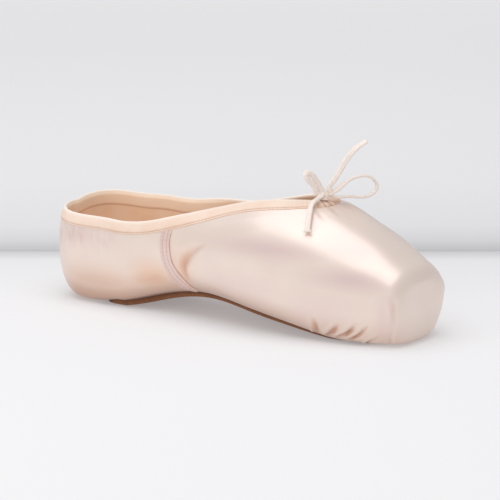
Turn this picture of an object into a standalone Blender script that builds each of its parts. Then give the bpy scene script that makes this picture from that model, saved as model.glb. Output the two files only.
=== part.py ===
"""Pointe shoe, empty and standing on its sole.

Metres, +Z up, +X towards the toe, +Y the shoe's own left. The origin lies on
the floor under the middle of the length. The hollow upper is swept through
half sections of the last, one side after the other, and the outsole, insole,
binding and side seams take their shape from the same sections.
"""
import math
from typing import NamedTuple

import bmesh
import bpy
import numpy as np
from mathutils import Vector
from mathutils.bvhtree import BVHTree

# Driving sizes of the last
LENGTH = 0.235
HEEL_RADIUS = 0.0268
HEEL_WIDTH = 0.0600
BALL_WIDTH = 0.0746
PLATFORM_WIDTH = 0.0484
HEEL_HEIGHT = 0.0510
INSTEP_HEIGHT = 0.0690
PLATFORM_HEIGHT = 0.0410
PLATFORM_ROUND = 0.0062
ARCH_RISE = 0.0104
THROAT_REACH = 0.1735
THROAT_ROUND = 0.0335

# Driving sizes of the materials
GAP = 0.0003
TRIM_GAP = 0.0005
SOLE_THICKNESS = 0.0027
SOLE_HEEL_END = 0.0370
SOLE_HEEL_ROUND = 0.0150
SOLE_TOE_END = 0.2200
SOLE_TOE_ROUND = 0.0260
SOLE_CUP = 0.0008
SOLE_CHAMFER = 0.0006
SOLE_FLAT_SHARE = 0.6
SOLE_END_SHARE = 0.55
QUARTER_WALL = 0.0021
BOX_WALL = 0.0036
FLOOR_WALL = 0.0019
FLANGE_WIDTH = 0.0060
OPENING_START = 0.0460
OPENING_END = 0.2020
OPENING_ROUND = 0.0140
LIP_WIDTH = 0.0009
BOX_START = 0.1457
BOX_GROWTH = 0.0353
INSOLE_THICKNESS = 0.0016
INSOLE_CLEARANCE = 0.0010
BINDING_THICKNESS = 0.0009
BINDING_DEPTH = 0.0086
BINDING_INNER_DEPTH = 0.0076
BINDING_THROAT_SHARE = 0.68
BINDING_CREST = 0.90
BINDING_SHOULDER = 0.55
SEAM_WIDTH = 0.0060
SEAM_THICKNESS = 0.0006
SEAM_CLEARANCE = 0.0015
CORD_DIAMETER = 0.0018
KNOT_LENGTH = 0.0064
KNOT_WIDTH = 0.0054
KNOT_HEIGHT = 0.0046

# Fineness of the surfaces
WALK_STEP = 0.0015
ROW_STEP = 0.0062
FAN_STEPS = 8
THROAT_STEPS = 7
SOLE_HEEL_STEPS = 4
SOLE_TOE_STEPS = 5
CAP_STEPS = 4
LOWER_STEPS = 4
UPPER_STEPS = 7
ACROSS_SHARES = (0.0, 0.5, 0.8, 1.0)


class Section(NamedTuple):
    """A half section of the last; the turn is in degrees, the rest in metres."""

    turn: float      # 0 points straight back from the heel centre, 90 sideways
    place: float     # distance from the heel back, for sections past the heel
    half: float      # half width at the widest level
    tread: float     # half width of the underside, out to the sole's edge
    belly: float     # height of the widest level over the sole
    roof: float      # height of the crest, which the collar opening cuts away
    lean: float      # how much higher the left side's crest is than the middle
    rim: float       # half width of the collar opening
    full: float      # exponent of the upper curve, 2 for an ellipse
    lift: float      # height of the sole's underside over the floor
    drop: float      # how far the satin reaches down beside the sole


HEEL_SECTIONS = (
    Section(0, 0, 0.975 * HEEL_RADIUS, 0.63 * HEEL_RADIUS, 0.52 * HEEL_HEIGHT,
            1.34 * HEEL_HEIGHT, 0.00 * HEEL_HEIGHT, 0.88 * HEEL_RADIUS,
            2.5, 0.29 * ARCH_RISE, 0.70 * SOLE_THICKNESS),
    Section(45, 0, 1.09 * HEEL_RADIUS, 0.69 * HEEL_RADIUS, 0.49 * HEEL_HEIGHT,
            1.33 * HEEL_HEIGHT, 0.06 * HEEL_HEIGHT, 0.955 * HEEL_RADIUS,
            2.5, 0.10 * ARCH_RISE, 0.74 * SOLE_THICKNESS),
    Section(90, HEEL_RADIUS, 0.492 * HEEL_WIDTH, 0.365 * HEEL_WIDTH, 0.47 * HEEL_HEIGHT,
            1.37 * HEEL_HEIGHT, 0.065 * HEEL_HEIGHT, 0.442 * HEEL_WIDTH,
            2.5, 0.02 * ARCH_RISE, 0.70 * SOLE_THICKNESS),
)
BODY_SECTIONS = (
    Section(90, 0.21 * LENGTH, 0.507 * HEEL_WIDTH, 0.385 * HEEL_WIDTH, 0.45 * HEEL_HEIGHT,
            1.46 * HEEL_HEIGHT, 0.080 * HEEL_HEIGHT, 0.460 * HEEL_WIDTH,
            2.4, -0.07 * ARCH_RISE, 0.26 * SOLE_THICKNESS),
    Section(90, 0.34 * LENGTH, 0.503 * HEEL_WIDTH, 0.322 * HEEL_WIDTH, 0.43 * HEEL_HEIGHT,
            1.37 * HEEL_HEIGHT, 0.060 * HEEL_HEIGHT, 0.437 * HEEL_WIDTH,
            2.3, 0.58 * ARCH_RISE, 0.16 * SOLE_THICKNESS),
    Section(90, 0.47 * LENGTH, 0.440 * BALL_WIDTH, 0.248 * BALL_WIDTH, 0.32 * INSTEP_HEIGHT,
            0.943 * INSTEP_HEIGHT, -0.018 * INSTEP_HEIGHT, 0.295 * BALL_WIDTH,
            2.2, 1.00 * ARCH_RISE, 0.16 * SOLE_THICKNESS),
    Section(90, 0.60 * LENGTH, 0.492 * BALL_WIDTH, 0.308 * BALL_WIDTH, 0.32 * INSTEP_HEIGHT,
            1.001 * INSTEP_HEIGHT, -0.025 * INSTEP_HEIGHT, 0.235 * BALL_WIDTH,
            2.2, 0.72 * ARCH_RISE, 0.18 * SOLE_THICKNESS),
    Section(90, 0.725 * LENGTH, 0.500 * BALL_WIDTH, 0.335 * BALL_WIDTH, 0.31 * INSTEP_HEIGHT,
            1.003 * INSTEP_HEIGHT, -0.010 * INSTEP_HEIGHT, 0.215 * BALL_WIDTH,
            2.2, 0.34 * ARCH_RISE, 0.40 * SOLE_THICKNESS),
    Section(90, 0.83 * LENGTH, 0.450 * BALL_WIDTH, 0.300 * BALL_WIDTH, 0.28 * INSTEP_HEIGHT,
            0.872 * INSTEP_HEIGHT, 0.0 * INSTEP_HEIGHT, 0.215 * BALL_WIDTH,
            2.3, -0.02 * ARCH_RISE, 0.72 * SOLE_THICKNESS),
    Section(90, 0.915 * LENGTH, 0.586 * PLATFORM_WIDTH, 0.410 * PLATFORM_WIDTH,
            0.45 * PLATFORM_HEIGHT, 1.235 * PLATFORM_HEIGHT, 0.0 * PLATFORM_HEIGHT,
            0.33 * PLATFORM_WIDTH, 2.4, -0.02 * ARCH_RISE, 0.80 * SOLE_THICKNESS),
    Section(90, LENGTH - PLATFORM_ROUND, 0.515 * PLATFORM_WIDTH, 0.275 * PLATFORM_WIDTH,
            0.46 * PLATFORM_HEIGHT, 1.015 * PLATFORM_HEIGHT, 0.0 * PLATFORM_HEIGHT,
            0.33 * PLATFORM_WIDTH, 2.5, 0.00 * ARCH_RISE, 0.80 * SOLE_THICKNESS),
)
SECTIONS = HEEL_SECTIONS + BODY_SECTIONS
HEEL_BACK = Vector((-LENGTH / 2, 0.0, 0.0))
CAP_NARROWING = 0.35
CAP_LOWERING = 0.36
CAP_LEVEL = 0.36

# Side seam: where it crosses the upper, as a share of the length, and how far
# down it is then, as a share of the way from the collar to the sole's edge
SEAM_ROUTE = ((0.376, 0.16), (0.380, 0.36), (0.390, 0.50), (0.404, 0.64),
              (0.420, 0.78), (0.436, 0.90), (0.448, 0.98))
SEAM_END = 0.98
SEAM_ROWS = 20
SEAM_ACROSS = ((-1.0, 0.35), (-0.7, 1.0), (0.0, 1.0), (0.7, 1.0), (1.0, 0.35))

# Bow of the drawstring: the knot lies on the binding at the throat, and each
# cord's route is given from the knot's middle
KNOT_AHEAD = 0.0010
KNOT_RIGHT = 0.0020
CORD_ROUTES = {
    "drawstring_loop_left": (
        (-0.0010, -0.0033, 0.0045), (-0.0018, -0.0053, 0.0088), (-0.0029, -0.0078, 0.0120),
        (-0.0041, -0.0104, 0.0122), (-0.0046, -0.0113, 0.0097), (-0.0042, -0.0100, 0.0067),
        (-0.0035, -0.0075, 0.0040), (-0.0030, -0.0052, 0.0018)),
    "drawstring_loop_right": (
        (0.0036, 0.0043, 0.0022), (0.0060, 0.0078, 0.0052), (0.0090, 0.0118, 0.0079),
        (0.0128, 0.0170, 0.0090), (0.0160, 0.0214, 0.0067), (0.0171, 0.0230, 0.0025),
        (0.0152, 0.0205, -0.0013), (0.0112, 0.0152, -0.0023), (0.0074, 0.0102, -0.0016),
        (0.0044, 0.0060, -0.0016)),
    "drawstring_end_up": (
        (0.0018, 0.0012, 0.0044), (0.0034, 0.0028, 0.0078), (0.0052, 0.0046, 0.0116),
        (0.0074, 0.0066, 0.0168), (0.0102, 0.0090, 0.0218), (0.0132, 0.0118, 0.0256),
        (0.0165, 0.0145, 0.0282)),
    "drawstring_end_down": (
        (-0.0006, -0.0054, -0.0006), (-0.0008, -0.0108, -0.0026), (0.0004, -0.0146, -0.0050),
        (0.0020, -0.0178, -0.0072), (0.0034, -0.0208, -0.0100), (0.0046, -0.0230, -0.0124),
        (0.0057, -0.0250, -0.0150)),
}
CORD_STEP = 2.0 * CORD_DIAMETER


def along_heel(turn):
    """Arc length from the heel back to a heel section."""
    return HEEL_RADIUS * math.radians(turn)


HEEL_ARC = along_heel(90)


def station_of(place):
    """Station of a section past the heel, counted along the last's edge."""
    return HEEL_ARC + place - HEEL_RADIUS


def natural_spline(knots, values):
    """Smooth curve through the values, with no bend at its two ends."""
    knots = np.asarray(knots, float)
    values = np.asarray(values, float)
    steps = np.diff(knots)
    count = len(knots)
    system = np.eye(count)
    target = np.zeros(count)
    for i in range(1, count - 1):
        system[i, i - 1:i + 2] = steps[i - 1], 2 * (steps[i - 1] + steps[i]), steps[i]
        slopes = (values[i + 1] - values[i]) / steps[i], (values[i] - values[i - 1]) / steps[i - 1]
        target[i] = 3 * (slopes[0] - slopes[1])
    bend = np.linalg.solve(system, target)

    def curve(where):
        where = min(max(where, knots[0]), knots[-1])
        i = int(min(max(np.searchsorted(knots, where) - 1, 0), count - 2))
        far = where - knots[i]
        rise = (values[i + 1] - values[i]) / steps[i] - steps[i] * (2 * bend[i] + bend[i + 1]) / 3
        bow = (bend[i + 1] - bend[i]) / (3 * steps[i])
        return float(values[i] + far * (rise + far * (bend[i] + far * bow)))

    return curve


STATIONS = [along_heel(row.turn) if row.turn < 90 else station_of(row.place) for row in SECTIONS]
CURVES = {
    name: natural_spline(STATIONS, [getattr(row, name) for row in SECTIONS])
    for name in Section._fields if name not in ("turn", "place")
}
THROAT_STATION = station_of(THROAT_REACH)
CAP_STATION = station_of(LENGTH - PLATFORM_ROUND)


def place_of(station):
    """Distance from the heel back of a station past the heel."""
    return HEEL_RADIUS + station - HEEL_ARC


def throat_fade(station):
    """1 along the open collar, falling to 0 in a round at the throat."""
    share = (station - THROAT_STATION + THROAT_ROUND) / THROAT_ROUND
    return 0.0 if share > 0.9999 else math.sqrt(1 - max(share, 0.0) ** 2)


def wall_at(station):
    """Wall of the upper: thin quarters, then the stiff box at the toe."""
    share = min(max((station - station_of(BOX_START)) / BOX_GROWTH, 0.0), 1.0)
    return QUARTER_WALL + (BOX_WALL - QUARTER_WALL) * share * share * (3 - 2 * share)


def rounded_end(distance, length):
    """Share of the full width at a distance inside a rounded end."""
    share = min(max(distance / length, 0.0), 1.0)
    return math.sqrt(1 - (1 - share) ** 2)


def fan_blend(station, reach, name):
    """Value of a curve, which round the heel fades to one value at the centre."""
    value = CURVES[name](station)
    if station < HEEL_ARC:
        side = CURVES[name](HEEL_ARC)
        value = side + (value - side) * (reach / CURVES["tread"](station)) ** 2
    return value


def ground(station, reach):
    """Height of the sole's underside where a section reaches out that far."""
    tread = CURVES["tread"](station)
    lift = max(fan_blend(station, reach, "lift"), 0.0)
    edge = min(max((reach / tread - SOLE_FLAT_SHARE) / (1 - SOLE_FLAT_SHARE), 0.0), 1.0)
    return lift + SOLE_CUP * edge * edge


def spot(station, side, reach, height):
    """Point of a section at a reach from its spine and a height."""
    if station < HEEL_ARC:
        turn = station / HEEL_RADIUS
        back, out = reach * math.cos(turn), reach * math.sin(turn)
        return Vector((HEEL_RADIUS - back, side * out, height)) + HEEL_BACK
    return Vector((place_of(station), side * reach, height)) + HEEL_BACK


def opening_reach(station):
    """Half width of the opening that the outsole closes."""
    place = place_of(station)
    inside = min(place - OPENING_START, OPENING_END - place)
    if station < HEEL_ARC or inside <= 0:
        return 0.0
    full = CURVES["tread"](station) - FLANGE_WIDTH
    return full * rounded_end(inside, OPENING_ROUND)


def sole_reach(place, grow):
    """Half width of the outsole, or of its pocket when grown."""
    blunt = SOLE_END_SHARE
    inside_heel = place - SOLE_HEEL_END + grow
    inside_toe = SOLE_TOE_END + grow - place
    heel = blunt + (1 - blunt) * rounded_end(inside_heel, SOLE_HEEL_ROUND)
    toe = blunt + (1 - blunt) * rounded_end(inside_toe, SOLE_TOE_ROUND)
    return (CURVES["tread"](station_of(place)) + grow) * heel * toe


def section_half(station, side, inner, pocket):
    """Points (reach, height) of one half section, from underneath to the top."""
    value = {name: curve(station) for name, curve in CURVES.items()}
    wall = wall_at(station) if inner else 0.0
    fade = throat_fade(station)
    power = 2 / value["full"]
    cut = math.acos(min(value["rim"] * fade / value["half"], 1.0) ** (1 / power))
    half = value["half"] - wall
    roof = value["roof"] + side * value["lean"] * fade ** 4 - wall
    level = ground(station, 0.0) + SOLE_THICKNESS + value["belly"]
    under_edge = value["tread"] + GAP + LIP_WIDTH
    start = opening_reach(station)
    edge = value["tread"]
    if pocket is not None:
        edge = sole_reach(place_of(station), GAP)

    def under(reach):
        return ground(station, reach) + SOLE_THICKNESS - fan_blend(station, reach, "drop")

    def over(reach):
        return ground(station, reach) + SOLE_THICKNESS + GAP + (FLOOR_WALL if inner else 0.0)

    points = []
    for share in ACROSS_SHARES[:-1] if inner else ACROSS_SHARES:
        reach = start + ((value["tread"] if inner else edge) - start) * share
        points.append((reach, over(reach) if inner or pocket else under(reach)))
    if not inner:
        points.append((edge, under(edge)))
    foot = over(under_edge) if inner else under(under_edge)
    for i in range(LOWER_STEPS):
        angle = math.pi / 2 * i / LOWER_STEPS
        reach = under_edge + (half - under_edge) * math.sin(angle)
        points.append((reach, level - (level - foot) * math.cos(angle)))
    for i in range(UPPER_STEPS + 1):
        angle = cut * i / UPPER_STEPS
        reach = half * max(math.cos(angle), 0.0) ** power
        points.append((reach, level + (roof - level) * math.sin(angle) ** power))
    if fade == 0:
        points[-1] = (0.0, roof)
    return points


def cap_half(points, share):
    """One half section drawn in over the rounded front of the platform."""
    angle = share * math.pi / 2
    drawn = 1 - math.cos(angle)
    low, high = points[0][1], points[-1][1]
    middle = low + CAP_LEVEL * (high - low)
    narrow = 1.0 if share >= 1 else CAP_NARROWING * drawn
    shrunk = CAP_LOWERING * drawn
    return [(reach * (1 - narrow), middle + (height - middle) * (1 - shrunk))
            for reach, height in points]


def sole_ends(grow):
    """Places of the rows at the sole's heel end and at its toe end."""
    start, end = SOLE_HEEL_END - grow, SOLE_TOE_END + grow
    heel = [start + SOLE_HEEL_ROUND * (1 - math.cos(math.pi / 2 * i / SOLE_HEEL_STEPS))
            for i in range(SOLE_HEEL_STEPS + 1)]
    toe = [end - SOLE_TOE_ROUND * (1 - math.sin(math.pi / 2 * i / SOLE_TOE_STEPS))
           for i in range(SOLE_TOE_STEPS + 1)]
    return heel, toe


def station_list():
    """Stations of the sweep, each with whether the sole's pocket is cut there.

    The pocket's two ends have a row without it and a row with it. None stands
    for rows that lie outside the pocket.
    """
    fan = [(HEEL_ARC * i / FAN_STEPS, None) for i in range(FAN_STEPS)]
    heel, toe = sole_ends(GAP)
    throat = [THROAT_REACH - THROAT_ROUND * (1 - math.sin(math.pi / 2 * i / THROAT_STEPS))
              for i in range(THROAT_STEPS + 1)]
    fixed = heel + toe + throat + [LENGTH - PLATFORM_ROUND]
    count = int((LENGTH - PLATFORM_ROUND - HEEL_RADIUS) / ROW_STEP)
    regular = [place for place in np.linspace(HEEL_RADIUS, LENGTH - PLATFORM_ROUND, count)
               if place == HEEL_RADIUS or min(abs(place - other) for other in fixed) > ROW_STEP / 2]
    rows = []
    for place in sorted(fixed + regular):
        inside = True if heel[0] <= place <= toe[-1] else None
        if place == heel[0]:
            rows.append((place, False))
        rows.append((place, inside))
        if place == toe[-1]:
            rows.append((place, False))
    return fan + [(station_of(place), pocket) for place, pocket in rows]


def skin_rows(inner):
    """Rows of 3-D points for both sides of one skin, heel to platform."""
    rows = {1: [], -1: []}
    for station, pocket in station_list():
        for side in rows:
            half = section_half(station, side, inner, pocket)
            rows[side].append([spot(station, side, *point) for point in half])
    for step in range(1, CAP_STEPS + 1):
        share = step / CAP_STEPS
        depth = PLATFORM_ROUND - (BOX_WALL if inner else 0.0)
        shift = Vector((depth * math.sin(share * math.pi / 2), 0, 0))
        for side in rows:
            half = cap_half(section_half(CAP_STATION, side, inner, None), share)
            rows[side].append([spot(CAP_STATION, side, *point) + shift for point in half])
    return rows


def add_skin(mesh, rows, inner):
    """Quads over both sides of one skin; returns the grids of vertices."""
    grids = {}
    for side, lines in rows.items():
        grid = [[mesh.verts.new(point) for point in line] for line in lines]
        grids[side] = grid
        for a, b in zip(grid, grid[1:]):
            for i in range(len(a) - 1):
                ring = [a[i], b[i], b[i + 1], a[i + 1]]
                flip = (side > 0) == inner
                mesh.faces.new(ring if flip else ring[::-1])
    return grids


def join_edges(mesh, outer, inner):
    """Close the wall along the collar and round the opening underneath."""
    stations = [station for station, _ in station_list()]
    for side in (1, -1):
        for i, (now, after) in enumerate(zip(stations, stations[1:])):
            if now < THROAT_STATION - GAP / 100:
                ring = [outer[side][i][-1], outer[side][i + 1][-1],
                        inner[side][i + 1][-1], inner[side][i][-1]]
                mesh.faces.new(ring if side > 0 else ring[::-1])
            if opening_reach(now) > 0 or opening_reach(after) > 0:
                ring = [outer[side][i + 1][0], outer[side][i][0],
                        inner[side][i][0], inner[side][i + 1][0]]
                mesh.faces.new(ring if side > 0 else ring[::-1])


def new_object(name, mesh, material, smooth=35):
    """Object from a bmesh, shaded smooth below an edge angle in degrees."""
    data = bpy.data.meshes.new(name)
    mesh.to_mesh(data)
    mesh.free()
    data.shade_smooth()
    data.set_sharp_from_angle(angle=math.radians(smooth))
    data.materials.append(material)
    piece = bpy.data.objects.new(name, data)
    bpy.context.scene.collection.objects.link(piece)
    return piece


def finish_mesh(mesh, merge=GAP / 30):
    """Merge the sides along the middle and point the faces outwards."""
    bmesh.ops.remove_doubles(mesh, verts=mesh.verts, dist=merge)
    bmesh.ops.dissolve_degenerate(mesh, edges=mesh.edges, dist=merge)
    bmesh.ops.recalc_face_normals(mesh, faces=mesh.faces)


def plain_material(name, colour, roughness):
    """Principled material of one colour."""
    material = bpy.data.materials.new(name)
    material.use_nodes = True
    shader = material.node_tree.nodes["Principled BSDF"]
    shader.inputs["Base Color"].default_value = (*colour, 1)
    shader.inputs["Roughness"].default_value = roughness
    shader.inputs["Metallic"].default_value = 0
    return material


def sole_places():
    """Places of the outsole's cross rows, close together at its ends."""
    heel, toe = sole_ends(0.0)
    count = int((toe[0] - heel[-1]) / ROW_STEP)
    return heel + list(np.linspace(heel[-1], toe[0], count)[1:-1]) + toe


def slab(mesh, places, reach_at, height_at, lowest, highest, chamfer):
    """Closed sheet between two heights over the ground, with rounded ends."""
    shares = [-share for share in ACROSS_SHARES[:0:-1]] + list(ACROSS_SHARES)
    faces = {}
    for level, extra in ((0, lowest), (1, highest)):
        grid = []
        for place in places:
            reach = reach_at(place)
            edge = max(reach - (chamfer if level == 0 else 0.0), 0.0)
            row = []
            for share in shares:
                height = height_at(place, abs(share) * edge) + extra
                row.append(mesh.verts.new(Vector((place, share * edge, height)) + HEEL_BACK))
            grid.append(row)
        faces[level] = grid
        for a, b in zip(grid, grid[1:]):
            for i in range(len(shares) - 1):
                ring = [a[i], b[i], b[i + 1], a[i + 1]]
                mesh.faces.new(ring if level == 0 else ring[::-1])
    low, high = faces[0], faces[1]
    for i in range(len(places) - 1):
        for k in (0, -1):
            mesh.faces.new([low[i][k], low[i + 1][k], high[i + 1][k], high[i][k]])
    for row_low, row_high in ((low[0], high[0]), (low[-1], high[-1])):
        for i in range(len(shares) - 1):
            mesh.faces.new([row_low[i], row_low[i + 1], row_high[i + 1], row_high[i]])
    finish_mesh(mesh)


def ground_at(place, reach):
    """Height of the sole's underside at a place along the shoe."""
    if place < HEEL_RADIUS:
        back = HEEL_RADIUS - place
        station = HEEL_RADIUS * math.atan2(reach, back)
        return ground(station, math.hypot(back, reach))
    return ground(station_of(place), reach)


def outsole(material):
    """Leather outsole, let into the satin at the heel and under the box."""
    mesh = bmesh.new()
    slab(mesh, sole_places(), lambda place: sole_reach(place, 0.0), ground_at,
         0.0, SOLE_THICKNESS, SOLE_CHAMFER)
    return new_object("outsole", mesh, material)


def upper(material):
    """Satin upper: quarters, vamp and box as one hollow wall."""
    mesh = bmesh.new()
    outer = add_skin(mesh, skin_rows(False), False)
    inner = add_skin(mesh, skin_rows(True), True)
    join_edges(mesh, outer, inner)
    finish_mesh(mesh)
    return new_object("upper", mesh, material, smooth=60)


def floor_reach(place):
    """Half width of the insole: the inner floor less its clearance."""
    if place < HEEL_RADIUS:
        back = HEEL_RADIUS - place
        tread = CURVES["tread"](0.0)
        return math.sqrt(max((tread - INSOLE_CLEARANCE) ** 2 - back ** 2, 0.0))
    return CURVES["tread"](station_of(place)) - INSOLE_CLEARANCE


def insole(material):
    """Insole lying on the flange inside."""
    start = HEEL_RADIUS - CURVES["tread"](0.0) + INSOLE_CLEARANCE
    end = OPENING_END + OPENING_ROUND
    places = [start + (HEEL_RADIUS - start) * (1 - math.cos(math.pi / 2 * i / 6)) for i in range(6)]
    places += list(np.linspace(HEEL_RADIUS, end - OPENING_ROUND, 24)[:-1])
    places += [end - OPENING_ROUND + OPENING_ROUND * math.sin(math.pi / 2 * i / 5) for i in range(6)]
    seat = SOLE_THICKNESS + GAP + FLOOR_WALL + GAP

    def reach_at(place):
        return floor_reach(place) * rounded_end(end - place, OPENING_ROUND)

    mesh = bmesh.new()
    slab(mesh, places, reach_at, ground_at, seat, seat + INSOLE_THICKNESS, 0.0)
    return new_object("insole", mesh, material)


class Skin:
    """One skin of the upper, on which the trim is laid."""

    def __init__(self, inner):
        self.mesh = bmesh.new()
        self.rows = skin_rows(inner)
        add_skin(self.mesh, self.rows, inner)
        bmesh.ops.remove_doubles(self.mesh, verts=self.mesh.verts, dist=GAP / 30)
        self.mesh.normal_update()
        self.mesh.faces.ensure_lookup_table()
        self.tree = BVHTree.FromBMesh(self.mesh)
        self.facing = -1 if inner else 1

    def settle(self, point):
        """Nearest point of the skin and its smooth normal, away from the wall."""
        place, _, index, _ = self.tree.find_nearest(point)
        normal = Vector()
        for corner in self.mesh.faces[index].verts:
            normal += corner.normal / ((corner.co - place).length + GAP)
        middle = Vector((min(max(place.x, -LENGTH / 3), LENGTH / 3), 0, INSTEP_HEIGHT / 2))
        if normal.dot(place - middle) * self.facing < 0:
            normal = -normal
        return place, normal.normalized()

    def walk(self, start, heading, distance):
        """Where a walk over the skin from a point ends, and the normal there."""
        place, normal = self.settle(start)
        steps = max(int(math.ceil(distance / WALK_STEP)), 1)
        for _ in range(steps if distance > 0 else 0):
            heading = (heading - normal * heading.dot(normal)).normalized()
            place, normal = self.settle(place + heading * distance / steps)
        return place, normal


def collar_loop(skin):
    """Collar corners of a skin in one ring, with the station of each."""
    stations = [station for station, _ in station_list()]
    open_rows = [i for i, station in enumerate(stations)
                 if station < THROAT_STATION + GAP / 100 and station not in stations[:i]]
    right = [(skin.rows[-1][i][-1], stations[i]) for i in open_rows[::-1]]
    left = [(skin.rows[1][i][-1], stations[i]) for i in open_rows[1:-1]]
    return right + left


def sweep_rings(mesh, rings):
    """Closed tube through rings of points, joined end to end."""
    lines = [[mesh.verts.new(point) for point in ring] for ring in rings]
    for a, b in zip(lines, lines[1:] + lines[:1]):
        for i in range(len(a)):
            k = (i + 1) % len(a)
            mesh.faces.new([a[i], b[i], b[k], a[k]])
    bmesh.ops.recalc_face_normals(mesh, faces=mesh.faces)


def binding(outer, inner, material):
    """Cotton band folded over the collar all round."""
    near = TRIM_GAP
    far = near + BINDING_THICKNESS
    outside, inside = collar_loop(outer), collar_loop(inner)
    rings = []
    for i, (edge, station) in enumerate(outside):
        edge_in = inside[i][0]
        ahead = outside[(i + 1) % len(outside)][0] - outside[i - 1][0]
        _, normal = outer.settle(edge)
        _, normal_in = inner.settle(edge_in)
        down = normal.cross(ahead).normalized()
        down_in = (down - normal_in * down.dot(normal_in)).normalized()
        over = -(down + down_in).normalized()
        narrow = BINDING_THROAT_SHARE + (1 - BINDING_THROAT_SHARE) * throat_fade(station)
        legs = [outer.walk(edge, down, BINDING_DEPTH * narrow * share) for share in (1, 0.65, 0.3)]
        legs_in = [inner.walk(edge_in, down_in, BINDING_INNER_DEPTH * narrow * share)
                   for share in (1, 0.5)]
        ring = [place + way * near for place, way in legs]
        ring += [edge + (normal + over) * near, edge_in + (normal_in + over) * near]
        ring += [place + way * near for place, way in legs_in[::-1]]
        ring += [place + way * far for place, way in legs_in]
        crest = over * far * BINDING_CREST
        ring += [edge_in + normal_in * far, edge_in + normal_in * far * BINDING_SHOULDER + crest]
        ring += [edge + normal * far * BINDING_SHOULDER + crest, edge + normal * far]
        ring += [place + way * far for place, way in legs[::-1]]
        rings.append(ring)
    mesh = bmesh.new()
    sweep_rings(mesh, rings)
    return new_object("binding", mesh, material)


def down_the_side(station, side, share):
    """Point on the outside of a section, a share of the way down its side."""
    half = section_half(station, side, False, None)[:len(ACROSS_SHARES):-1]
    points = [spot(station, side, *point) for point in half]
    lengths = [(b - a).length for a, b in zip(points, points[1:])]
    far = share * sum(lengths)
    for a, b, length in zip(points, points[1:], lengths):
        if far <= length:
            return a.lerp(b, far / length)
        far -= length
    return points[-1]


def side_seam(name, side, outer, material):
    """Raised strip over the join of quarter and vamp."""
    route = natural_spline([row[1] for row in SEAM_ROUTE], [row[0] for row in SEAM_ROUTE])
    top = station_of(SEAM_ROUTE[0][0] * LENGTH)
    side_line = [down_the_side(top, side, k / 20) for k in range(21)]
    depth = sum((a - b).length for a, b in zip(side_line, side_line[1:]))
    start = (BINDING_DEPTH + SEAM_CLEARANCE) / depth
    shares = np.linspace(start, SEAM_END, SEAM_ROWS)
    line = [down_the_side(station_of(route(share) * LENGTH), side, share) for share in shares]
    low, high = [], []
    for i, point in enumerate(line):
        place, normal = outer.settle(point)
        ahead = line[min(i + 1, len(line) - 1)] - line[max(i - 1, 0)]
        across = ahead.cross(normal).normalized()
        feet = [outer.walk(place, across * math.copysign(1, share), abs(share) * SEAM_WIDTH / 2)
                + (rise,) for share, rise in SEAM_ACROSS]
        low.append([foot + way * TRIM_GAP for foot, way, _ in feet])
        high.append([foot + way * (TRIM_GAP + SEAM_THICKNESS * rise) for foot, way, rise in feet])
    mesh = bmesh.new()
    rings = [a + b[::-1] for a, b in zip(low, high)]
    lines = [[mesh.verts.new(point) for point in ring] for ring in rings]
    for a, b in zip(lines, lines[1:]):
        for i in range(len(a)):
            k = (i + 1) % len(a)
            mesh.faces.new([a[i], b[i], b[k], a[k]])
    count = len(SEAM_ACROSS)
    for end in (lines[0], lines[-1]):
        for i in range(count - 1):
            mesh.faces.new([end[i], end[i + 1], end[-i - 2], end[-i - 1]])
    bmesh.ops.recalc_face_normals(mesh, faces=mesh.faces)
    return new_object(name, mesh, material)


def knot_middle(outer):
    """Middle of the bow's knot, lying on the binding at the throat."""
    seat = Vector((THROAT_REACH + KNOT_AHEAD, -KNOT_RIGHT, INSTEP_HEIGHT)) + HEEL_BACK
    place, normal = outer.settle(seat)
    return place + normal * (TRIM_GAP + BINDING_THICKNESS + GAP + KNOT_HEIGHT / 2)


def knot(middle, material):
    """Tight knot of the drawstring's bow."""
    mesh = bmesh.new()
    bmesh.ops.create_icosphere(mesh, subdivisions=3, radius=0.5)
    bmesh.ops.scale(mesh, verts=mesh.verts, vec=(KNOT_WIDTH, KNOT_LENGTH, KNOT_HEIGHT))
    bmesh.ops.translate(mesh, verts=mesh.verts, vec=middle)
    return new_object("drawstring_knot", mesh, material)


def knot_face(way):
    """Distance from the knot's middle to its surface in a direction."""
    half = (KNOT_WIDTH / 2, KNOT_LENGTH / 2, KNOT_HEIGHT / 2)
    return 1 / math.sqrt(sum((part / size) ** 2 for part, size in zip(way.normalized(), half)))


def cord(name, route, middle, material):
    """Round cord of the bow along its route, clear of the knot's face."""
    route = [Vector(point) for point in route]
    ends = [route[0], route[-1]] if name.startswith("drawstring_loop") else [route[0]]
    seats = [end.normalized() * (knot_face(end) + GAP) for end in ends]
    route = [seats[0]] + route + seats[1:]
    knots = [0.0]
    for a, b in zip(route, route[1:]):
        knots.append(knots[-1] + (b - a).length)
    axes = [natural_spline(knots, [point[i] for point in route]) for i in range(3)]
    count = max(int(round(knots[-1] / CORD_STEP)), 6)
    curve = bpy.data.curves.new(name, "CURVE")
    curve.dimensions = "3D"
    curve.bevel_depth = CORD_DIAMETER / 2
    curve.bevel_resolution = 2
    curve.use_fill_caps = True
    spline = curve.splines.new("POLY")
    spline.points.add(count)
    for i in range(count + 1):
        where = knots[-1] * i / count
        point = middle + Vector([axis(where) for axis in axes])
        spline.points[i].co = (*point, 1)
    curve.materials.append(material)
    piece = bpy.data.objects.new(name, curve)
    bpy.context.scene.collection.objects.link(piece)
    return piece


def clear_scene():
    """Remove every object and mesh that the file starts with."""
    for item in list(bpy.data.objects):
        bpy.data.objects.remove(item, do_unlink=True)


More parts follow.
